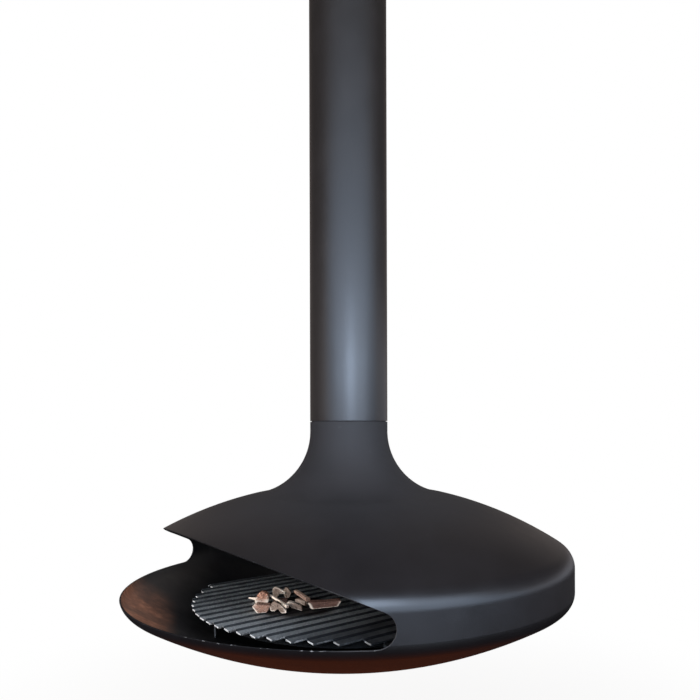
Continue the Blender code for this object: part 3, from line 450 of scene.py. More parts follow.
def blued_grate():
    """Heat-blued grate plate: dull blue-grey, scratched along the ribs and speckled.

    The plate is paler towards the front as painted light. It is darkened in the grooves by soot and painted
    shade, towards the right and back by painted shade under the hood, and under the sticks by char and
    their painted shadow.
    """
    plate = Finish("blued_grate")
    phase = rib_phase(plate)
    along = plate.noise(26.0, 5.0, 0.65, plate.stretched((9.0, 0.55, 1.0), (0.0, 0.0, -GRATE_TURN)))
    clouds = plate.noise(6.0, 4.0, 0.6)
    patches = plate.noise(19.0, 4.0, 0.65)
    specks = plate.noise(210.0, 3.0, 0.65)
    # Dark line where each rib drops: soot and painted shade
    groove_soot_and_shade = phase.step(GRATE_CREST - 0.035, GRATE_CREST + 0.01)
    groove_soot_and_shade = groove_soot_and_shade * phase.step(GRATE_LEDGE + 0.06, GRATE_LEDGE + 0.01)
    crest = phase.step(GRATE_CREST - 0.20, GRATE_CREST - 0.05)
    scratched = (along.step(0.40, 0.66) * (0.45 + crest * 0.55)).held()
    colour = plate.blend(clouds.step(0.3, 0.72), (0.120, 0.141, 0.151), (0.305, 0.335, 0.345))
    colour = plate.blend(patches.step(0.50, 0.66) * 0.55, colour, (0.090, 0.075, 0.078))
    colour = plate.blend(scratched * 0.45, colour, (0.52, 0.56, 0.58))
    colour = plate.blend(specks.step(0.56, 0.68) * 0.75, colour, (0.80, 0.82, 0.80))
    colour = plate.blend(specks.step(0.46, 0.36) * 0.75, colour, (0.030, 0.030, 0.034))
    x, y, _ = plate.axes()
    near = measured(x, y, VIEW_SIDE)
    # Paler towards the front, where light falls in through the mouth: painted light
    colour = plate.blend(near.step(0.08, 0.32) * 0.32, colour, (0.78, 0.82, 0.84))
    colour = plate.blend(groove_soot_and_shade * (0.80 + patches * 0.2), colour, (0.008, 0.008, 0.010))
    # Darker towards the right and back: painted shade under the hood
    soot_and_shade = (x.step(0.16, 0.33) + y.step(-0.20, 0.08) * 0.80).held()
    colour = plate.blend(soot_and_shade * (0.66 + patches * 0.4), colour, (0.028, 0.028, 0.032))
    # Dark round the pile of sticks: char and the sticks' painted shadow
    aside, ahead = x - CHAR_AND_SHADOW_PLACE[0], y - CHAR_AND_SHADOW_PLACE[1]
    char_and_shadow = ((aside * aside + ahead * ahead) ** 0.5 + (patches - 0.5) * 0.06).step(0.115, 0.085)
    colour = plate.blend(char_and_shadow * 0.92, colour, (0.012, 0.008, 0.007))
    rough = 0.50 + (clouds - 0.5) * 0.2 - scratched * 0.12
    normal = plate.bump(along * 0.6 + specks * 0.4, 0.0004, 0.7)
    return plate.surface(Base_Color=colour, Roughness=rough.held(), Metallic=0.30, Normal=normal)


def grate_edge():
    """Cut edge of the grate: bright on each rib's ledge and rough on its rise, black in the groove as soot
    and painted shade, and darker to the right as painted shade under the hood.
    """
    plate = Finish("grate_edge")
    phase = rib_phase(plate)
    fall = phase.step(GRATE_LEDGE, GRATE_LEDGE + 0.05) * phase.step(GRATE_FOOT + 1.0, GRATE_FOOT + 0.95)
    bright_patches = plate.noise(60.0, 4.0, 0.6).step(0.30, 0.55)
    rough_cut = plate.noise(170.0, 4.0, 0.7).step(0.40, 0.65)
    # Black at the groove: soot and painted shade
    groove_soot_and_shade = phase.step(GRATE_CREST - 0.01, GRATE_CREST + 0.02) * (1.0 - fall)
    # Darker to the right: painted shade under the hood
    hood_shade = plate.axes()[0].step(0.24, 0.38) * 0.75
    bright = ((fall * (0.55 + bright_patches * 0.45) + rough_cut * 0.36) * (1.0 - groove_soot_and_shade) * (1.0 - hood_shade)).held()
    colour = plate.blend(bright, (0.040, 0.044, 0.048), (0.86, 0.88, 0.88))
    return plate.surface(Base_Color=colour, Roughness=(0.5 - bright * 0.1).held(), Metallic=0.0)


def bare_metal(name, dark, pale, roughness, brushed=(1.0, 1.0, 12.0), metallic=1.0):
    """Bare metal with brushing along one axis, a dull film and small stains."""
    metal = Finish(name)
    brush = metal.noise(120.0, 3.0, 0.6, metal.stretched(brushed))
    film = metal.noise(11.0, 4.0, 0.6)
    stains = metal.noise(70.0, 4.0, 0.7).step(0.60, 0.74)
    colour = metal.blend(film.step(0.3, 0.7), dark, pale)
    colour = metal.blend(stains * 0.35, colour, scaled(dark, 0.35))
    rough = roughness + (brush - 0.5) * 0.22 + stains * 0.15
    return metal.surface(
        Base_Color=colour, Roughness=rough.held(), Metallic=metallic, Normal=metal.bump(brush, 0.00015, 0.5)
    )


def glass_rope():
    """Braided rope seal: crossed strands, greyed by smoke."""
    rope = Finish("glass_rope")
    strands = {"Scale": 90.0, "Distortion": 1.5, "Vector": rope.here()}
    braid = rope.node("ShaderNodeTexWave", {"bands_direction": "DIAGONAL"}, strands, 1)
    fuzz = rope.noise(500.0, 3.0, 0.7)
    colour = rope.blend(braid * 0.6 + fuzz * 0.4, (0.20, 0.19, 0.17), (0.60, 0.58, 0.52))
    return rope.surface(Base_Color=colour, Roughness=0.95, Normal=rope.bump(braid, 0.0008, 0.8))


def split_wood():
    """Split kindling: grain along each stick, red-brown or weathered wood, pale sapwood and dark bark."""
    wood = Finish("split_wood")
    names = ("along", "around", "pale", "red", "grey", "bark")
    along, around, pale, red, grey, bark = [
        wood.node("ShaderNodeAttribute", {"attribute_name": name}, None, 2) for name in names
    ]
    place = wood.node("ShaderNodeCombineXYZ", None, {0: along * 14.0, 1: around * 260.0, 2: red * 9.0})
    grain = wood.noise(1.0, 5.0, 0.62, place)
    place = wood.node("ShaderNodeCombineXYZ", None, {0: along * 60.0, 1: around * 900.0, 2: grey * 5.0})
    fibre = wood.noise(1.0, 3.0, 0.6, place)
    knots = wood.noise(120.0, 3.0, 0.5)
    rings = wood.noise(210.0, 3.0, 0.6, wood.stretched((1.0, 1.0, 2.2)))
    heart = wood.blend(red, (0.450, 0.262, 0.198), (0.780, 0.360, 0.225))
    heart = wood.blend(grey, heart, (0.375, 0.310, 0.240))
    streak = (grain.step(0.34, 0.66) * 0.7 + rings.step(0.40, 0.70) * 0.5).held()
    colour = wood.blend(streak * 0.95, heart, (0.070, 0.030, 0.022))
    colour = wood.blend(fibre.step(0.50, 0.68) * 0.65, colour, (0.86, 0.66, 0.54))
    colour = wood.blend((bark * (0.70 + grain * 0.5)).held(), colour, (0.075, 0.036, 0.030))
    torn = (pale.step(0.25, 0.95) * (0.72 + fibre * 0.5)).held()
    colour = wood.blend(torn, colour, (0.98, 0.85, 0.72))
    colour = wood.blend(knots.step(0.58, 0.68) * 0.6, colour, (0.080, 0.040, 0.030))
    normal = wood.bump(grain * 0.5 + fibre * 0.5, 0.0007, 0.8)
    return wood.surface(Base_Color=colour, Roughness=(0.78 + (fibre - 0.5) * 0.2).held(), Normal=normal)


# Profile of the hearth

def arc(run, radius, end, count):
    """Arc that goes on tangentially from the run's last point.

    A point is (radius, height, angle of the outward normal). Both coordinates change by the arc's
    radius times the change of that angle's cosine and sine.
    """
    r, z, start = run[-1]
    sign = 1.0 if end > start else -1.0
    angles = np.linspace(start, end, count + 1)[1:]
    across = r + sign * radius * (math.cos(start) - np.cos(angles))
    height = z - sign * radius * (np.sin(angles) - math.sin(start))
    return np.vstack([run, np.column_stack([across, height, angles])])


def hood_profile():
    """Outside from the seam down to the foot of the band, and the number of the neck's last point."""
    run = np.array([[CASING_RADIUS, SEAM - SEAM_GAP / 2, 0.0]])
    run = np.vstack([run, [[CASING_RADIUS, SEAM - NECK_LENGTH, 0.0]]])
    run = arc(run, FLARE_RADIUS, FLARE_ANGLE, 120)
    neck_end = len(run) - 1
    run = arc(run, SHOULDER_RADIUS, SHOULDER_ANGLE, 30)
    rim_width = RIM_RADIUS * (1 - math.cos(RIM_ANGLE))
    dome_radius = (BODY_RADIUS - rim_width - run[-1, 0]) / (math.cos(RIM_ANGLE) - math.cos(SHOULDER_ANGLE))
    run = arc(run, dome_radius, RIM_ANGLE, 300)
    run = arc(run, RIM_RADIUS, 0.0, 120)
    foot = [[BODY_RADIUS, run[-1, 1] - BAND_HEIGHT, 0.0]]
    return np.vstack([run, foot]), neck_end


def bowl_profile(band_foot):
    """Outside from the foot of the band to the middle of the dish."""
    run = np.array([[BODY_RADIUS, band_foot, 0.0]])
    run = arc(run, FOOT_RADIUS, -DISH_ANGLE, 120)
    return arc(run, run[-1, 0] / math.cos(DISH_ANGLE), -math.pi / 2, 400)


HOOD, NECK_END = hood_profile()
BAND_FOOT = HOOD[-1, 1]
BOWL = bowl_profile(BAND_FOOT)
LIP = BAND_FOOT - LIP_DROP
GRATE_MIDDLE = LIP - GRATE_BELOW_LIP


def lengths(run):
    """Length along a profile up to each of its points."""
    steps = np.hypot(np.diff(run[:, 0]), np.diff(run[:, 1]))
    return np.concatenate([[0.0], np.cumsum(steps)])


def sampled(run, places):
    """Radius, height and normal angle at these lengths along the profile."""
    known = lengths(run)
    return [np.interp(places, known, run[:, column]) for column in range(3)]


def mouth_edge(height):
    """How far back the mouth is cut at a height: its round inner end, then its rising upper edge."""
    end_y = MOUTH_REACH - BODY_RADIUS - MOUTH_END_RADIUS
    end_z = LIP + MOUTH_END_RADIUS
    turn = math.pi / 2 - MOUTH_RISE
    top_y = end_y + MOUTH_END_RADIUS * math.cos(turn)
    top_z = end_z + MOUTH_END_RADIUS * math.sin(turn)
    drop = np.clip((height - end_z) / MOUTH_END_RADIUS, -1.0, 1.0)
    rounded_end = end_y + MOUTH_END_RADIUS * np.sqrt(1.0 - drop**2)
    slanted = top_y - (height - top_z) / math.tan(MOUTH_RISE)
    return np.where(height > top_z, slanted, rounded_end)


def shell_point(r, z, angle, turn):
    """Points on the outside and the outward normals of a spun shell."""
    r, z, angle, turn = np.broadcast_arrays(r, z, angle, turn)
    ways = direction(turn)
    points = np.concatenate([r[..., None] * ways, z[..., None]], axis=-1)
    normals = np.concatenate([np.cos(angle)[..., None] * ways, np.sin(angle)[..., None]], axis=-1)
    return points, normals


def sheet_edge(outside, inside, outwards, bulge):
    """Grid across a cut edge: from outside to inside, swelling by a half ellipse away from the sheet."""
    share = np.linspace(0.0, 1.0, 5)[:, None, None]
    swell = np.sin(share * math.pi) * bulge
    return outside[None] * (1 - share) + inside[None] * share + outwards[None] * swell


def unit(vectors):
    """The vectors at length 1."""
    return vectors / np.maximum(np.linalg.norm(vectors, axis=-1, keepdims=True), 1e-12)


def make_neck(paint, soot_and_shade):
    """Neck, with a spigot that reaches up inside the casing and closes the turning gap to sight."""
    turns = whole_ring(176)
    known = lengths(HOOD)
    places = [[0.0, 0.0002, 0.0005], np.linspace(0.004, NECK_LENGTH, 5), known[3 : NECK_END + 1 : 3]]
    places = np.unique(np.concatenate([*places, [known[NECK_END]]]))
    r, z, angle = sampled(HOOD, places)
    r[:2] -= (0.0005, 0.0002)
    points, normals = shell_point(r[:, None], z[:, None], angle[:, None], turns)
    inner = points - SHEET * normals
    outer_r = CASING_RADIUS - CASING_WALL - SPIGOT_GAP
    inner_r = outer_r - SPIGOT_WALL
    top = z[0] + SPIGOT_RISE
    spigot = [
        (inner_r, z[0] - SPIGOT_DROP),
        (inner_r, top - 0.0005),
        (inner_r + 0.0005, top),
        (outer_r - 0.0005, top),
        (outer_r, top - 0.0005),
        (outer_r, z[0] + 0.0006),
        (outer_r + 0.0006, z[0]),
    ]
    patches = [
        (points, False, True, 0),
        (np.stack([points[-1], inner[-1]]), False, True, 0),
        (inner[:2:-1], False, True, 1),
        (np.concatenate([inner[3:4], spun(spigot, turns), points[:1]]), False, True, 0),
    ]
    make_piece("neck_shell", patches, [paint, soot_and_shade], "hearth", ["flared_neck"])


def make_hood(paint, soot_and_shade, edge):
    """Hood with the mouth cut out of it: each row of points runs from one side of the mouth to the other.

    The row at the mouth's highest point is the first that is cut, and the rows lie closer from there down.
    """
    known = lengths(HOOD)
    gap = HOOD[:, 0] + mouth_edge(HOOD[:, 1])
    first_cut = np.argmax(gap > 0.0)
    apex = np.interp(0.0, gap[first_cut - 1 : first_cut + 1], known[first_cut - 1 : first_cut + 1])
    above = np.linspace(known[NECK_END], apex, 52)
    below = apex + (known[-1] - apex) * np.linspace(0.0, 1.0, 60)[1:] ** 2
    band = np.linspace(known[-1] - 0.078, known[-1], 40)
    rows = np.unique(np.round(np.concatenate([above, below, band]), 6))
    rows[np.argmin(abs(rows - apex))] = apex
    rows = rows[np.concatenate([[True], np.diff(rows) > 0.00025])]
    r, z, angle = sampled(HOOD, rows)
    half = np.arccos(np.clip(-mouth_edge(z) / r, -1.0, 1.0))
    half[rows <= apex] = 0.0
    share = np.linspace(0.0, 1.0, 225)
    turn = half[:, None] + share[None] * (FULL_TURN - 2 * half[:, None])
    points, normals = shell_point(r[:, None], z[:, None], angle[:, None], turn)
    inner = points - SHEET * normals
    patches = [
        (points, False, False, 0),
        (np.stack([points[-1], inner[-1]]), False, False, 0),
        (inner[::-1], False, False, 1),
        (np.stack([inner[0], points[0]]), False, False, 0),
    ]
    cut = np.argmin(abs(rows - apex))
    for column, sign in ((0, 1.0), (-1, -1.0)):
        outside, inside = points[cut:, column], inner[cut:, column]
        along = unit(np.gradient(outside, axis=0))
        outwards = unit(np.cross(along, normals[cut:, column])) * sign
        outwards[0] = unit(outwards[0] * (0.0, 1.0, 1.0))
        patches.append((sheet_edge(outside, inside, outwards, CUT_BULGE), False, False, 2))
    make_piece("hood_shell", patches, [paint, soot_and_shade, edge], "hearth", ["hood"], 50.0)


def make_bowl(paint, soot_and_shade, edge):
    """Bowl: its upper edge is the lip in front, rises round the mouth's two ends and is level at the back.

    Its rows keep their share of the way down to the middle, and lie closer near the edge.
    """
    known = lengths(BOWL)
    heights = np.linspace(LIP, BAND_FOOT, 14)
    corner = np.arccos(-mouth_edge(heights) / np.interp(-heights, -BOWL[:, 1], BOWL[:, 0]))
    front = np.linspace(0.0, corner[0], 64)[:-1]
    back = np.linspace(corner[-1], math.pi, 74)[1:]
    half_turns = np.concatenate([front, corner, back])
    half_tops = np.concatenate([np.full_like(front, LIP), heights, np.full_like(back, BAND_FOOT)])
    turns = np.concatenate([half_turns, FULL_TURN - half_turns[-2:0:-1]])
    tops = np.concatenate([half_tops, half_tops[-2:0:-1]])
    start = np.interp(-tops, -BOWL[:, 1], known)
    fall = np.concatenate([np.linspace(0.0, 0.16, 26), np.linspace(0.16, 1.0, 64)[1:]])
    places = start[None] + fall[:, None] * (known[-1] - start[None])
    points, normals = shell_point(*sampled(BOWL, places), turns)
    inner = points - SHEET * normals
    for wall in (points, inner):
        wall[-1, :, :2] = 0.0
    along = unit(np.roll(points[0], -1, 0) - np.roll(points[0], 1, 0))
    outwards = unit(np.cross(normals[0], along)) * -1.0
    outwards *= np.sign(outwards[:, 2:]) * (tops < BAND_FOOT - 1e-6)[:, None]
    patches = [
        (points, False, True, 0),
        (inner[::-1], False, True, 1),
        (sheet_edge(inner[0], points[0], outwards, CUT_BULGE), False, True, 2),
    ]
    make_piece("bowl_shell", patches, [paint, soot_and_shade, edge], "hearth", ["bowl"], 50.0)


def make_flue(paint):
    """Casing with eased edges."""
    foot = SEAM + SEAM_GAP / 2
    outline = tube_outline(CASING_RADIUS - CASING_WALL, CASING_RADIUS, foot, CASING_TOP, CASING_EASED)
    ring_piece("casing_tube", outline, 144, paint, "flue", ["flue_casing"])


# Grate, its stand and the kindling

def grate_lines():
    """Lines along the ribs, as (place across them, height, half length).

    With p the place within a rib, its height rises from 0 at the foot to 1 at the crest, drops to the
    ledge and falls slowly along it to 0 at the next foot; a short running mean eases the bends. The rib's
    end is square on the ledge, at the disc's half chord there, and runs straight to the next rib's on
    the rise.
    """
    phase = np.linspace(0.0, 1.0, 31)[:-1]
    place = np.append((np.arange(GRATE_RIBS)[:, None] + phase).ravel(), GRATE_RIBS)
    fine = np.linspace(-1.0, GRATE_RIBS + 1.0, 14001)
    inside = np.mod(fine - GRATE_FOOT, 1.0) + GRATE_FOOT
    stops = (GRATE_FOOT, GRATE_CREST, GRATE_LEDGE, GRATE_FOOT + 1.0)
    wave = np.interp(inside, stops, (0.0, 1.0, GRATE_LEDGE_HEIGHT, 0.0)) - GRATE_MEAN_HEIGHT
    width = int(GRATE_BEND / GRATE_PITCH / (fine[1] - fine[0]))
    window = np.hanning(2 * width + 1)
    eased = np.convolve(np.pad(wave, width, mode="edge"), window / window.sum(), mode="valid")
    ribs = np.arange(GRATE_RIBS)
    middle = (ribs + (GRATE_LEDGE + GRATE_FOOT + 1.0) / 2) * GRATE_PITCH - GRATE_WIDTH / 2
    half = np.sqrt(GRATE_RADIUS**2 - np.minimum(abs(middle), 0.99 * GRATE_RADIUS) ** 2)
    stops = np.stack([ribs + GRATE_CREST, ribs + GRATE_FOOT + 1.0], axis=-1).ravel()
    reach = np.interp(place, stops, np.repeat(half, 2))
    return place * GRATE_PITCH - GRATE_WIDTH / 2, np.interp(place, fine, eased) * GRATE_DEPTH, reach


def make_grate(plate, edge):
    """Folded plate with burred cut ends, turned a little against the mouth."""
    x, wave, reach = grate_lines()
    share = np.linspace(1.0, -1.0, 31)[:, None]
    height = GRATE_MIDDLE + wave
    upper = np.stack([x + 0 * share, reach * share, height + GRATE_THICKNESS / 2 + 0 * share], axis=-1)
    lower = upper - (0.0, 0.0, GRATE_THICKNESS)
    back = np.zeros_like(upper[0])
    back[:, 1] = 1.0
    patches = [
        (upper, False, False, 0),
        (sheet_edge(upper[-1], lower[-1], -back, GRATE_BURR), False, False, 1),
        (lower[::-1], False, False, 0),
        (sheet_edge(lower[0], upper[0], back, GRATE_BURR), False, False, 1),
        (np.stack([upper[:, 0], lower[:, 0]]), False, False, 1),
        (np.stack([upper[:, -1], lower[:, -1]]), False, False, 1),
    ]
    turn = Matrix.Rotation(GRATE_TURN, 3, "Z")
    patches = [(points @ np.array(turn).T, *rest) for points, *rest in patches]
    make_piece("grate_plate", patches, [plate, edge], "grate", ["fire_grate"], 35.0)


def dish_floor(r):
    """Height of the bowl's inside at a radius."""
    inner_r = BOWL[:, 0] - SHEET * np.cos(BOWL[:, 2])
    inner_z = BOWL[:, 1] - SHEET * np.sin(BOWL[:, 2])
    return np.interp(r, inner_r[::-1], inner_z[::-1])


def make_stand(iron, lit_leg_iron):
    """Hoop of flat bar and four flat legs whose feet follow the dish."""
    top = GRATE_MIDDLE - (GRATE_DEPTH + GRATE_THICKNESS) / 2 - FIT
    outline = tube_outline(STAND_RADIUS - STAND_BAR, STAND_RADIUS, top - STAND_HEIGHT, top, STAND_BAR_EASED)
    ring_piece("stand_ring", outline, 160, iron, "hearth", ["stand_hoop"])
    near, far = STAND_RADIUS + FIT, STAND_RADIUS + FIT + STAND_BAR
    half = STAND_LEG_WIDTH / 2
    section = rounded([(far, half), (far, -half), (near, -half), (near, half)], STAND_BAR_EASED)
    foot = dish_floor(np.hypot(section[:, 0], section[:, 1])) + FIT
    share = np.linspace(0.0, 1.0, 12)[:, None]
    for number in range(STAND_LEGS):
        turn = STAND_LEG_TURN + FULL_TURN * number / STAND_LEGS
        out, side = direction(np.array(turn)), direction(np.array(turn + math.pi / 2))
        flat = section[:, :1] * out + section[:, 1:] * side
        height = top * (1 - share) + foot[None] * share
        wall = np.concatenate([np.broadcast_to(flat, height.shape + (2,)), height[..., None]], axis=-1)
        caps = [np.stack([line, np.broadcast_to(line.mean(0), line.shape)]) for line in (wall[0], wall[-1])]
        patches = [(wall, False, True, 0)] + [(cap, False, True, 0) for cap in caps]
        node = f"stand_leg_{number + 1}"
        make_piece(f"leg_{number + 1}", patches, [lit_leg_iron], "hearth", [node])


STICK_COLUMNS = 64
STICK_CORNER = 0.0022
STICK_SWELL = 0.030
STICK_FIBRE = 0.016
STICK_RAGGED = 0.0006
STICK_SUNK = 0.0006

# One row each, lengths in millimetres: place, turn of the stick's axis, length, lift over the ribs and
# width of its back end as a share; its section as (across, up); how pale each side of the section is, 0
# to 9; how deep the pale wood reaches into the end; then redness, greyness and bark
STICKS = (
    (
        (27, -287), -31, 30, 0, 0.9,
        ((-10, 0), (14, 1), (23, 20), (-13, 23), (-23, 18)),
        "71259", 0.10, 0.55, 0.15, 0.0,
    ),
    (
        (56, -255), -38, 20, 0, 0.9,
        (
            (10, 0), (21, 0), (23, 6), (8, 21), (-4, 29), (-14, 27), (-21, 16), (-18, 6),
            (-6, 5), (-2, 11), (4, 12),
        ),
        "99611159999", 0.34, 0.2, 0.8, 0.0,
    ),
    (
        (62, -208), -37, 20, 0, 0.9,
        ((8, 3), (20, 0), (16, 14), (-4, 21), (-17, 24), (-22, 19), (-20, 14), (-14, 14), (-9, 9)),
        "834799945", 0.45, 0.3, 0.7, 0.0,
    ),
    (
        (87, -134), -33, 28, 0, 0.9,
        ((-34, 0), (36, 6), (44, 22), (1, 19), (-43, 18)),
        "86119", 0.0, 0.35, 0.0, 0.80,
    ),
    (
        (-81, -182), -31, 16, 0, 0.9,
        ((-14, 0), (-5, 0), (2, 13), (17, 11), (19, 17), (2, 27), (-11, 31), (-17, 27), (-18, 17)),
        "128996543", 0.45, 0.2, 0.9, 0.0,
    ),
    (
        (-70, -161), -41, 14, 0, 0.9,
        ((-6, 0), (7, 0), (12, 15), (0, 28), (-5, 28), (-11, 19), (-3, 14), (-10, 11)),
        "42123344", 0.10, 0.2, 0.9, 0.1,
    ),
    (
        (-49, -248), -35, 26, 0, 0.9,
        ((-17, 0), (15, 1), (18, 14), (17, 25), (10, 32), (-1, 34), (-10, 29), (-14, 20), (-18, 11)),
        "995211369", 0.75, 1.0, 0.0, 0.0,
    ),
    ((-97, -253), 29, 30, 0, 0.35, ((-4, 0), (4, 0), (4, 9), (-4, 9)), "3369", 0.60, 0.7, 0.0, 0.0),
    ((-17, -210), 54, 35, 0, 0.9, ((-8, 0), (8, 0), (7, 15), (-7, 15)), "0000", 0.0, 0.2, 0.3, 0.9),
    ((19, -166), 12, 40, 0, 0.9, ((-6, 0), (6, 0), (6, 13), (-6, 13)), "1134", 0.2, 0.2, 0.8, 0.1),
    ((21, -235), -8, 133, 16, 0.8, ((-4, 0), (4, 0), (4, 7), (-4, 8)), "6699", 0.9, 0.4, 0.2, 0.0),
    ((3, -156), -10, 104, 14, 0.9, ((-6, 0), (6, 0), (6, 10), (-6, 10)), "1143", 0.3, 0.45, 0.4, 0.1),
)


def make_stick(number, row, finish):
    """Split stick: its section carried along its axis.

    Distance from the section's middle = that of the outline with eased corners, times 1 + slow waves
    along the stick (splitting) and fine ridges round it (fibres), times the growth from the back end to
    the front one. Each end is closed by three shrinking rings.
    """
    (x, y), degrees, length, lift, taper, section, sides, deep, red, grey, bark = row
    random = np.random.default_rng(40 + number)
    section = 0.001 * np.array(section, float)
    length *= 0.001

    corners = rounded(section, STICK_CORNER, 4)
    closed = np.vstack([corners, corners[:1]])
    lap = np.concatenate([[0.0], np.cumsum(np.linalg.norm(np.diff(closed, axis=0), axis=1))])
    girth = lap[-1]
    lap /= girth
    around = np.linspace(0.0, 1.0, STICK_COLUMNS, endpoint=False)
    outline = np.column_stack([np.interp(around, lap, closed[:, axis]) for axis in (0, 1)])
    middle = outline.mean(0)

    ends = np.roll(section, -1, axis=0) - section
    reach = outline[:, None] - section[None]
    share = np.clip((reach * ends).sum(-1) / (ends**2).sum(-1), 0.0, 1.0)
    nearest = np.linalg.norm(reach - share[..., None] * ends, axis=-1).argmin(1)
    pale = np.array([int(side) / 9 for side in sides])[nearest]

    along = np.concatenate([[0.0, 0.0, 0.0, 0.012], np.linspace(0.04, 0.96, 22), [0.988, 1.0, 1.0, 1.0]])
    shrink = np.ones_like(along)
    shrink[:3] = (0.02, 0.70, 0.94)
    shrink[-3:] = (0.94, 0.70, 0.02)
    depth = np.ones_like(along)
    depth[:3] = depth[:-4:-1] = (0.5 * deep, deep, 1.0)
    along_rows = along[:, None]
    waves = 0.0
    for rate, laps in ((0.6, 1), (1.3, 1), (1.1, 2), (2.3, 2), (3.1, 3)):
        size, start = random.uniform(-1, 1), random.uniform(0, 1)
        waves = waves + size * np.sin(FULL_TURN * (rate * along_rows + start + laps * around))
    ridges = random.integers(17, 24)
    fibres = np.sin(FULL_TURN * (ridges * around + 0.7 * np.sin(2 * along_rows)))
    growth = taper + (1 - taper) * along
    swell = (1 + STICK_SWELL * waves + STICK_FIBRE * fibres) * (shrink * growth)[:, None]
    ragged = random.uniform(-1, 1, (2, STICK_COLUMNS)) * STICK_RAGGED
    place = (along_rows - 0.5) * length + 0 * around
    place[1:3] += ragged[0]
    place[-3:-1] += ragged[1]

    local = np.concatenate([place[..., None], middle + swell[..., None] * (outline - middle)], axis=-1)
    local[..., 2] = np.maximum(local[..., 2], 0.0)
    turn = math.radians(degrees)
    flat = np.array([[math.cos(turn), math.sin(turn)], [-math.sin(turn), math.cos(turn)]])
    ribs_top = GRATE_MIDDLE + (GRATE_DEPTH + GRATE_THICKNESS) / 2
    grid = np.empty_like(local)
    grid[..., :2] = local[..., :2] @ flat + (0.001 * x, 0.001 * y)
    grid[..., 2] = local[..., 2] + ribs_top - STICK_SUNK + 0.001 * lift
    every = 0 * grid[..., 0]
    values = {
        "along": place + number + every,
        "around": around * girth + every,
        "pale": pale * depth[:, None] + every,
        "red": every + red,
        "grey": every + grey,
        "bark": every + bark,
    }
    patches, nodes = [(grid, False, True, 0)], [f"kindling_{number}"]
    make_piece(f"stick_{number}", patches, [finish], "grate", nodes, 60.0, values)


# Light, floor and camera

# The camera stands at the angle that the painted light and shade are laid out by, looks level and is rolled
# by about a sixth of a degree
CAMERA_WAY = tuple(-direction(np.array(VIEW_TURN)))
CAMERA_DISTANCE = 1.9373
CAMERA_HEIGHT = SEAM - 0.0214
CAMERA_YAW = math.radians(1.852)
CAMERA_ROLL = math.radians(0.161)
LENS = 34.889
SHIFT = (-0.02977, 0.11271)

# A range's first number is where a light's share is 0 and its second where it is 1, as parts of a
# direction: sideways for SIDES, upwards for HEAD and SILL
WINDOW_WAY = tuple(direction(np.array(math.radians(63.0))))
WINDOW_SIDES, WINDOW_HEAD, WINDOW_SILL = (0.0, 1.0), (0.72, -0.02), (-0.45, 0.0)
WINDOW_COLOUR = (0.92, 0.96, 1.0)
WINDOW_GLINT = (0.62, 0.77, 1.0)
WINDOW_LEVEL = 2.95
HORIZON_SIDES, HORIZON_HEAD, HORIZON_SILL = (-0.5, 0.3), (0.20, 0.05), (-0.25, -0.05)
HORIZON_LEVEL = 0.55
STRIP_SIDES, STRIP_HEAD, STRIP_SILL = (0.25, 0.85), (0.15, 0.05), (-0.18, -0.05)
STRIP_LEVEL = 0.65
WALL_SIDES, WALL_SILL, WALL_FOOT_HEAD = (0.60, 1.0), (0.05, 0.30), (0.72, 0.50)
WALL_LEVEL = 0.30
WALL_FOOT = 0.05
ROOM_COLOUR = (1.0, 0.86, 0.80)
ROOM_LEVEL = 0.22
ROOM_HUSH = 0.09
SIDE_HUSH, SIDE_HUSH_SILL, SIDE_HUSH_HEAD = 0.07, (0.05, 0.25), (0.80, 0.55)
FLOOR_SIZE = 9.0
FLOOR_DROP = 0.45
FLOOR_SHADE = 0.14
FLOOR_NEAR = (0.19, 0.046, 0.019)
FLOOR_MIDDLE = (0.025, 0.022, 0.025)
FLOOR_FAR = (0.12, 0.12, 0.13)
FLOOR_SEEN = (0.86, 0.85, 0.84)


def rays(light):
    """1 for the rays that come from the camera, from a glossy surface or through glass."""
    path = light.node("ShaderNodeLightPath")
    names = ("Is Camera Ray", "Is Glossy Ray", "Is Transmission Ray")
    return [Wire(light, path.socket.node.outputs[name]) for name in names]


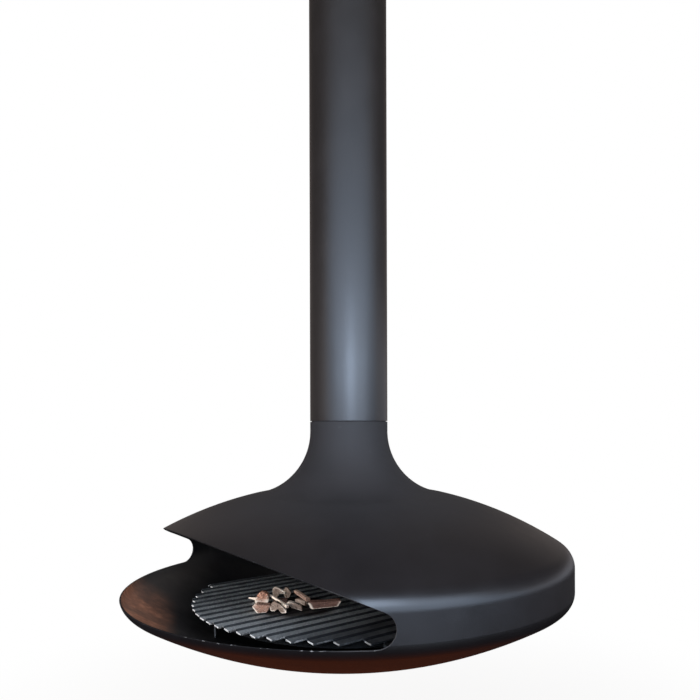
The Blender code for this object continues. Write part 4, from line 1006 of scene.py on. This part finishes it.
def make_sky():
    """White backdrop to the camera, and an even room that lights the hearth and mirrors in it.

    The room holds a wide soft window that fades out sideways and upwards, a wall beyond the hearth, a
    horizon on the window's side and a low strip at the right.
    """
    sky = bpy.data.worlds.new("studio")
    bpy.context.scene.world = sky
    sky.use_nodes = True
    light = Finish("studio", sky.node_tree)
    camera, glossy, passing = rays(light)
    across, along, up = light.axes(light.node("ShaderNodeTexCoord"))
    toward = measured(across, along, WINDOW_WAY)
    window = toward.step(*WINDOW_SIDES) * up.step(*WINDOW_HEAD) * up.step(*WINDOW_SILL)
    tint = light.blend(glossy, WINDOW_COLOUR, WINDOW_GLINT)
    beyond = measured(across, along, CAMERA_WAY).step(*WALL_SIDES)
    wall = beyond * up.step(*WALL_SILL) * WALL_LEVEL + beyond * up.step(*WALL_FOOT_HEAD) * WALL_FOOT
    horizon = toward.step(*HORIZON_SIDES) * up.step(*HORIZON_HEAD) * up.step(*HORIZON_SILL)
    right = measured(across, along, VIEW_RIGHT)
    strip = right.step(*STRIP_SIDES) * up.step(*STRIP_HEAD) * up.step(*STRIP_SILL)
    colour = light.blend((window * 3.0 + strip * 0.6).held(), ROOM_COLOUR, tint)
    hush = ROOM_HUSH + up.step(*SIDE_HUSH_SILL) * up.step(*SIDE_HUSH_HEAD) * SIDE_HUSH
    level = ROOM_LEVEL - glossy * hush + window * WINDOW_LEVEL + wall
    level = level + horizon * HORIZON_LEVEL + strip * STRIP_LEVEL
    room = light.node("ShaderNodeBackground", None, {0: colour, 1: level})
    backdrop = light.node("ShaderNodeBackground", None, {0: (1.0, 1.0, 1.0), 1: 1.0})
    seen = light.node("ShaderNodeMixShader", None, {0: (camera + passing).held(), 1: room, 2: backdrop})
    light.node("ShaderNodeOutputWorld", None, {0: seen})


def make_floor(height):
    """Floor: white to the camera except for the object's shadow, and warm wood in what it throws back."""
    mesh = bpy.data.meshes.new("floor")
    signs = ((-1, -1), (1, -1), (1, 1), (-1, 1))
    mesh.from_pydata([(FLOOR_SIZE * x, FLOOR_SIZE * y, height) for x, y in signs], [], [(0, 1, 2, 3)])
    floor = bpy.data.objects.new("floor", mesh)
    bpy.context.scene.collection.objects.link(floor)
    pale = Finish("pale_floor")
    camera, _, passing = rays(pale)
    x, y, _ = pale.axes()
    away = (x * x + y * y) ** 0.5
    seen = (camera + passing).held()
    share = (seen * (1.0 - FLOOR_SHADE + FLOOR_SHADE * away.step(0.5, 2.2))).held()
    tone = pale.blend(away.step(0.35, 1.1), FLOOR_NEAR, FLOOR_MIDDLE)
    tone = pale.blend(away.step(1.6, 3.2), tone, FLOOR_FAR)
    tone = pale.blend(seen, tone, FLOOR_SEEN)
    matt = pale.node("ShaderNodeBsdfDiffuse", None, {0: tone})
    white = pale.node("ShaderNodeEmission", None, {0: (1.0, 1.0, 1.0), 1: 1.0})
    mixed = pale.node("ShaderNodeMixShader", None, {0: share, 1: matt, 2: white})
    pale.node("ShaderNodeOutputMaterial", None, {0: mixed})
    mesh.materials.append(pale.material)


def beside(turn, distance, height):
    """Place at an angle from the mouth's front, a distance from the axis and a height over the seam."""
    way = direction(np.array(math.radians(turn)))
    return (distance * way[0], distance * way[1], SEAM + height)


# Name, place, what it points at, width, height, colour, radiance and whether it mirrors in the object
LAMPS = (
    ("window_middle", beside(62, 1.3, 0.10), (0.0, 0.0, SEAM), 0.52, 0.40, WINDOW_GLINT, 5.9, True),
    ("window_sides", beside(63, 1.3, 0.09), (0.0, 0.0, SEAM), 2.5, 0.42, WINDOW_GLINT, 2.6, True),
    (
        "mouth_softbox", beside(-6, 2.4, -0.05), (0.0, 0.0, SEAM - 0.45),
        1.8, 1.2, (1.0, 0.94, 0.90), 8.4, False,
    ),
    (
        "side_softbox", beside(92, 2.2, 0.10), (0.0, -0.3, SEAM - 0.50),
        0.9, 0.9, (1.0, 0.92, 0.86), 6.0, False,
    ),
)


def make_lamps():
    """Rectangular lamps; a lamp's power is its radiance times pi times its area."""
    for name, place, target, width, height, colour, radiance, glints in LAMPS:
        lamp = bpy.data.lights.new(name, "AREA")
        lamp.shape = "RECTANGLE"
        lamp.size = width
        lamp.size_y = height
        lamp.color = colour
        lamp.energy = radiance * math.pi * width * height
        holder = bpy.data.objects.new(name, lamp)
        holder.location = place
        holder.rotation_euler = (Vector(target) - Vector(place)).to_track_quat("-Z", "Y").to_euler()
        holder.visible_camera = False
        holder.visible_glossy = glints
        bpy.context.scene.collection.objects.link(holder)


def make_camera():
    """Level camera: turned by its yaw, then rolled, and shifted to the photograph's framing."""
    forward = Vector((*CAMERA_WAY, 0.0))
    up = Vector((0.0, 0.0, 1.0))
    right = forward.cross(up)
    ahead = forward * math.cos(CAMERA_YAW) + right * math.sin(CAMERA_YAW)
    right = right * math.cos(CAMERA_YAW) - forward * math.sin(CAMERA_YAW)
    tilted_right = right * math.cos(CAMERA_ROLL) - up * math.sin(CAMERA_ROLL)
    tilted_up = up * math.cos(CAMERA_ROLL) + right * math.sin(CAMERA_ROLL)
    lens = bpy.data.cameras.new("camera")
    lens.lens = LENS
    lens.sensor_width = 36.0
    lens.shift_x, lens.shift_y = SHIFT
    lens.clip_start = 0.05
    lens.clip_end = 60.0
    holder = bpy.data.objects.new("camera", lens)
    columns = Matrix((tilted_right, tilted_up, -ahead)).transposed().to_4x4()
    columns.translation = (*(CAMERA_DISTANCE * direction(np.array(VIEW_TURN))), CAMERA_HEIGHT)
    holder.matrix_world = columns
    bpy.context.scene.collection.objects.link(holder)
    bpy.context.scene.camera = holder


def main():
    hood_coat = ((0.0056, 0.0052, 0.0062), (0.0092, 0.0086, 0.0100), 0.36)
    # Paler than the hood's coat: partly a rougher finish, partly painted sheen
    neck_coat_and_sheen = ((0.0110, 0.0103, 0.0117), (0.0172, 0.0158, 0.0178), 0.76)
    # The same paint as the hood's, made about three times darker as painted shade on the bowl, which faces
    # down
    shaded_bowl_coat = ((0.0018, 0.0017, 0.0022), (0.0034, 0.0032, 0.0040), 0.38)
    flue_coat = ((0.0110, 0.0096, 0.0096), (0.0170, 0.0150, 0.0152), 0.36)
    hearth_paint = heatproof_paint("hearth_paint", hood_coat, 0.75, neck_coat_and_sheen)
    shaded_bowl_paint = heatproof_paint("shaded_bowl_paint", shaded_bowl_coat, 0.75)
    flue_paint = heatproof_paint("flue_paint", flue_coat, 0.80)
    soot_and_shade = smoked_steel()
    edge = rubbed_and_highlit_edge()
    drawn, rolled = (1.0, 1.0, 3.0), (12.0, 12.0, 1.0)
    iron = bare_metal("blackened_iron", (0.030, 0.034, 0.038), (0.075, 0.082, 0.088), 0.50, drawn, 0.55)
    # The legs' iron, paler than the hoop's, as painted light on the legs
    lit_leg_iron = bare_metal("leg_iron_painted_light", (0.16, 0.17, 0.18), (0.42, 0.44, 0.46), 0.50, drawn, 0.2)
    wood = split_wood()

    finishes = {
        "black_steel": flue_paint,
        "liner_steel": bare_metal("liner_steel", (0.36, 0.36, 0.36), (0.55, 0.55, 0.54), 0.30, rolled),
        "bare_steel": bare_metal("turned_steel", (0.30, 0.30, 0.31), (0.48, 0.48, 0.49), 0.34),
        "bronze": bare_metal("bush_bronze", (0.42, 0.27, 0.12), (0.62, 0.44, 0.22), 0.36),
        "grate_steel": iron,
        "seal_rope": glass_rope(),
        "split_wood": wood,
    }
    for part in frame["record"]["subparts"]:
        mesh = frame["nodes"][part["node"]].data
        mesh.materials.clear()
        mesh.materials.append(finishes[part["material_slot"]])

    make_neck(hearth_paint, soot_and_shade)
    make_hood(hearth_paint, soot_and_shade, edge)
    make_bowl(shaded_bowl_paint, soot_and_shade, edge)
    make_flue(flue_paint)
    make_grate(blued_grate(), grate_edge())
    make_stand(iron, lit_leg_iron)
    for number, row in enumerate(STICKS, 1):
        make_stick(number, row, wood)
    make_sky()
    make_floor(solid_box[0][2] - FLOOR_DROP)
    make_lamps()
    make_camera()
    bpy.context.scene.view_settings.view_transform = "Standard"


main()
bpy.context.view_layer.update()
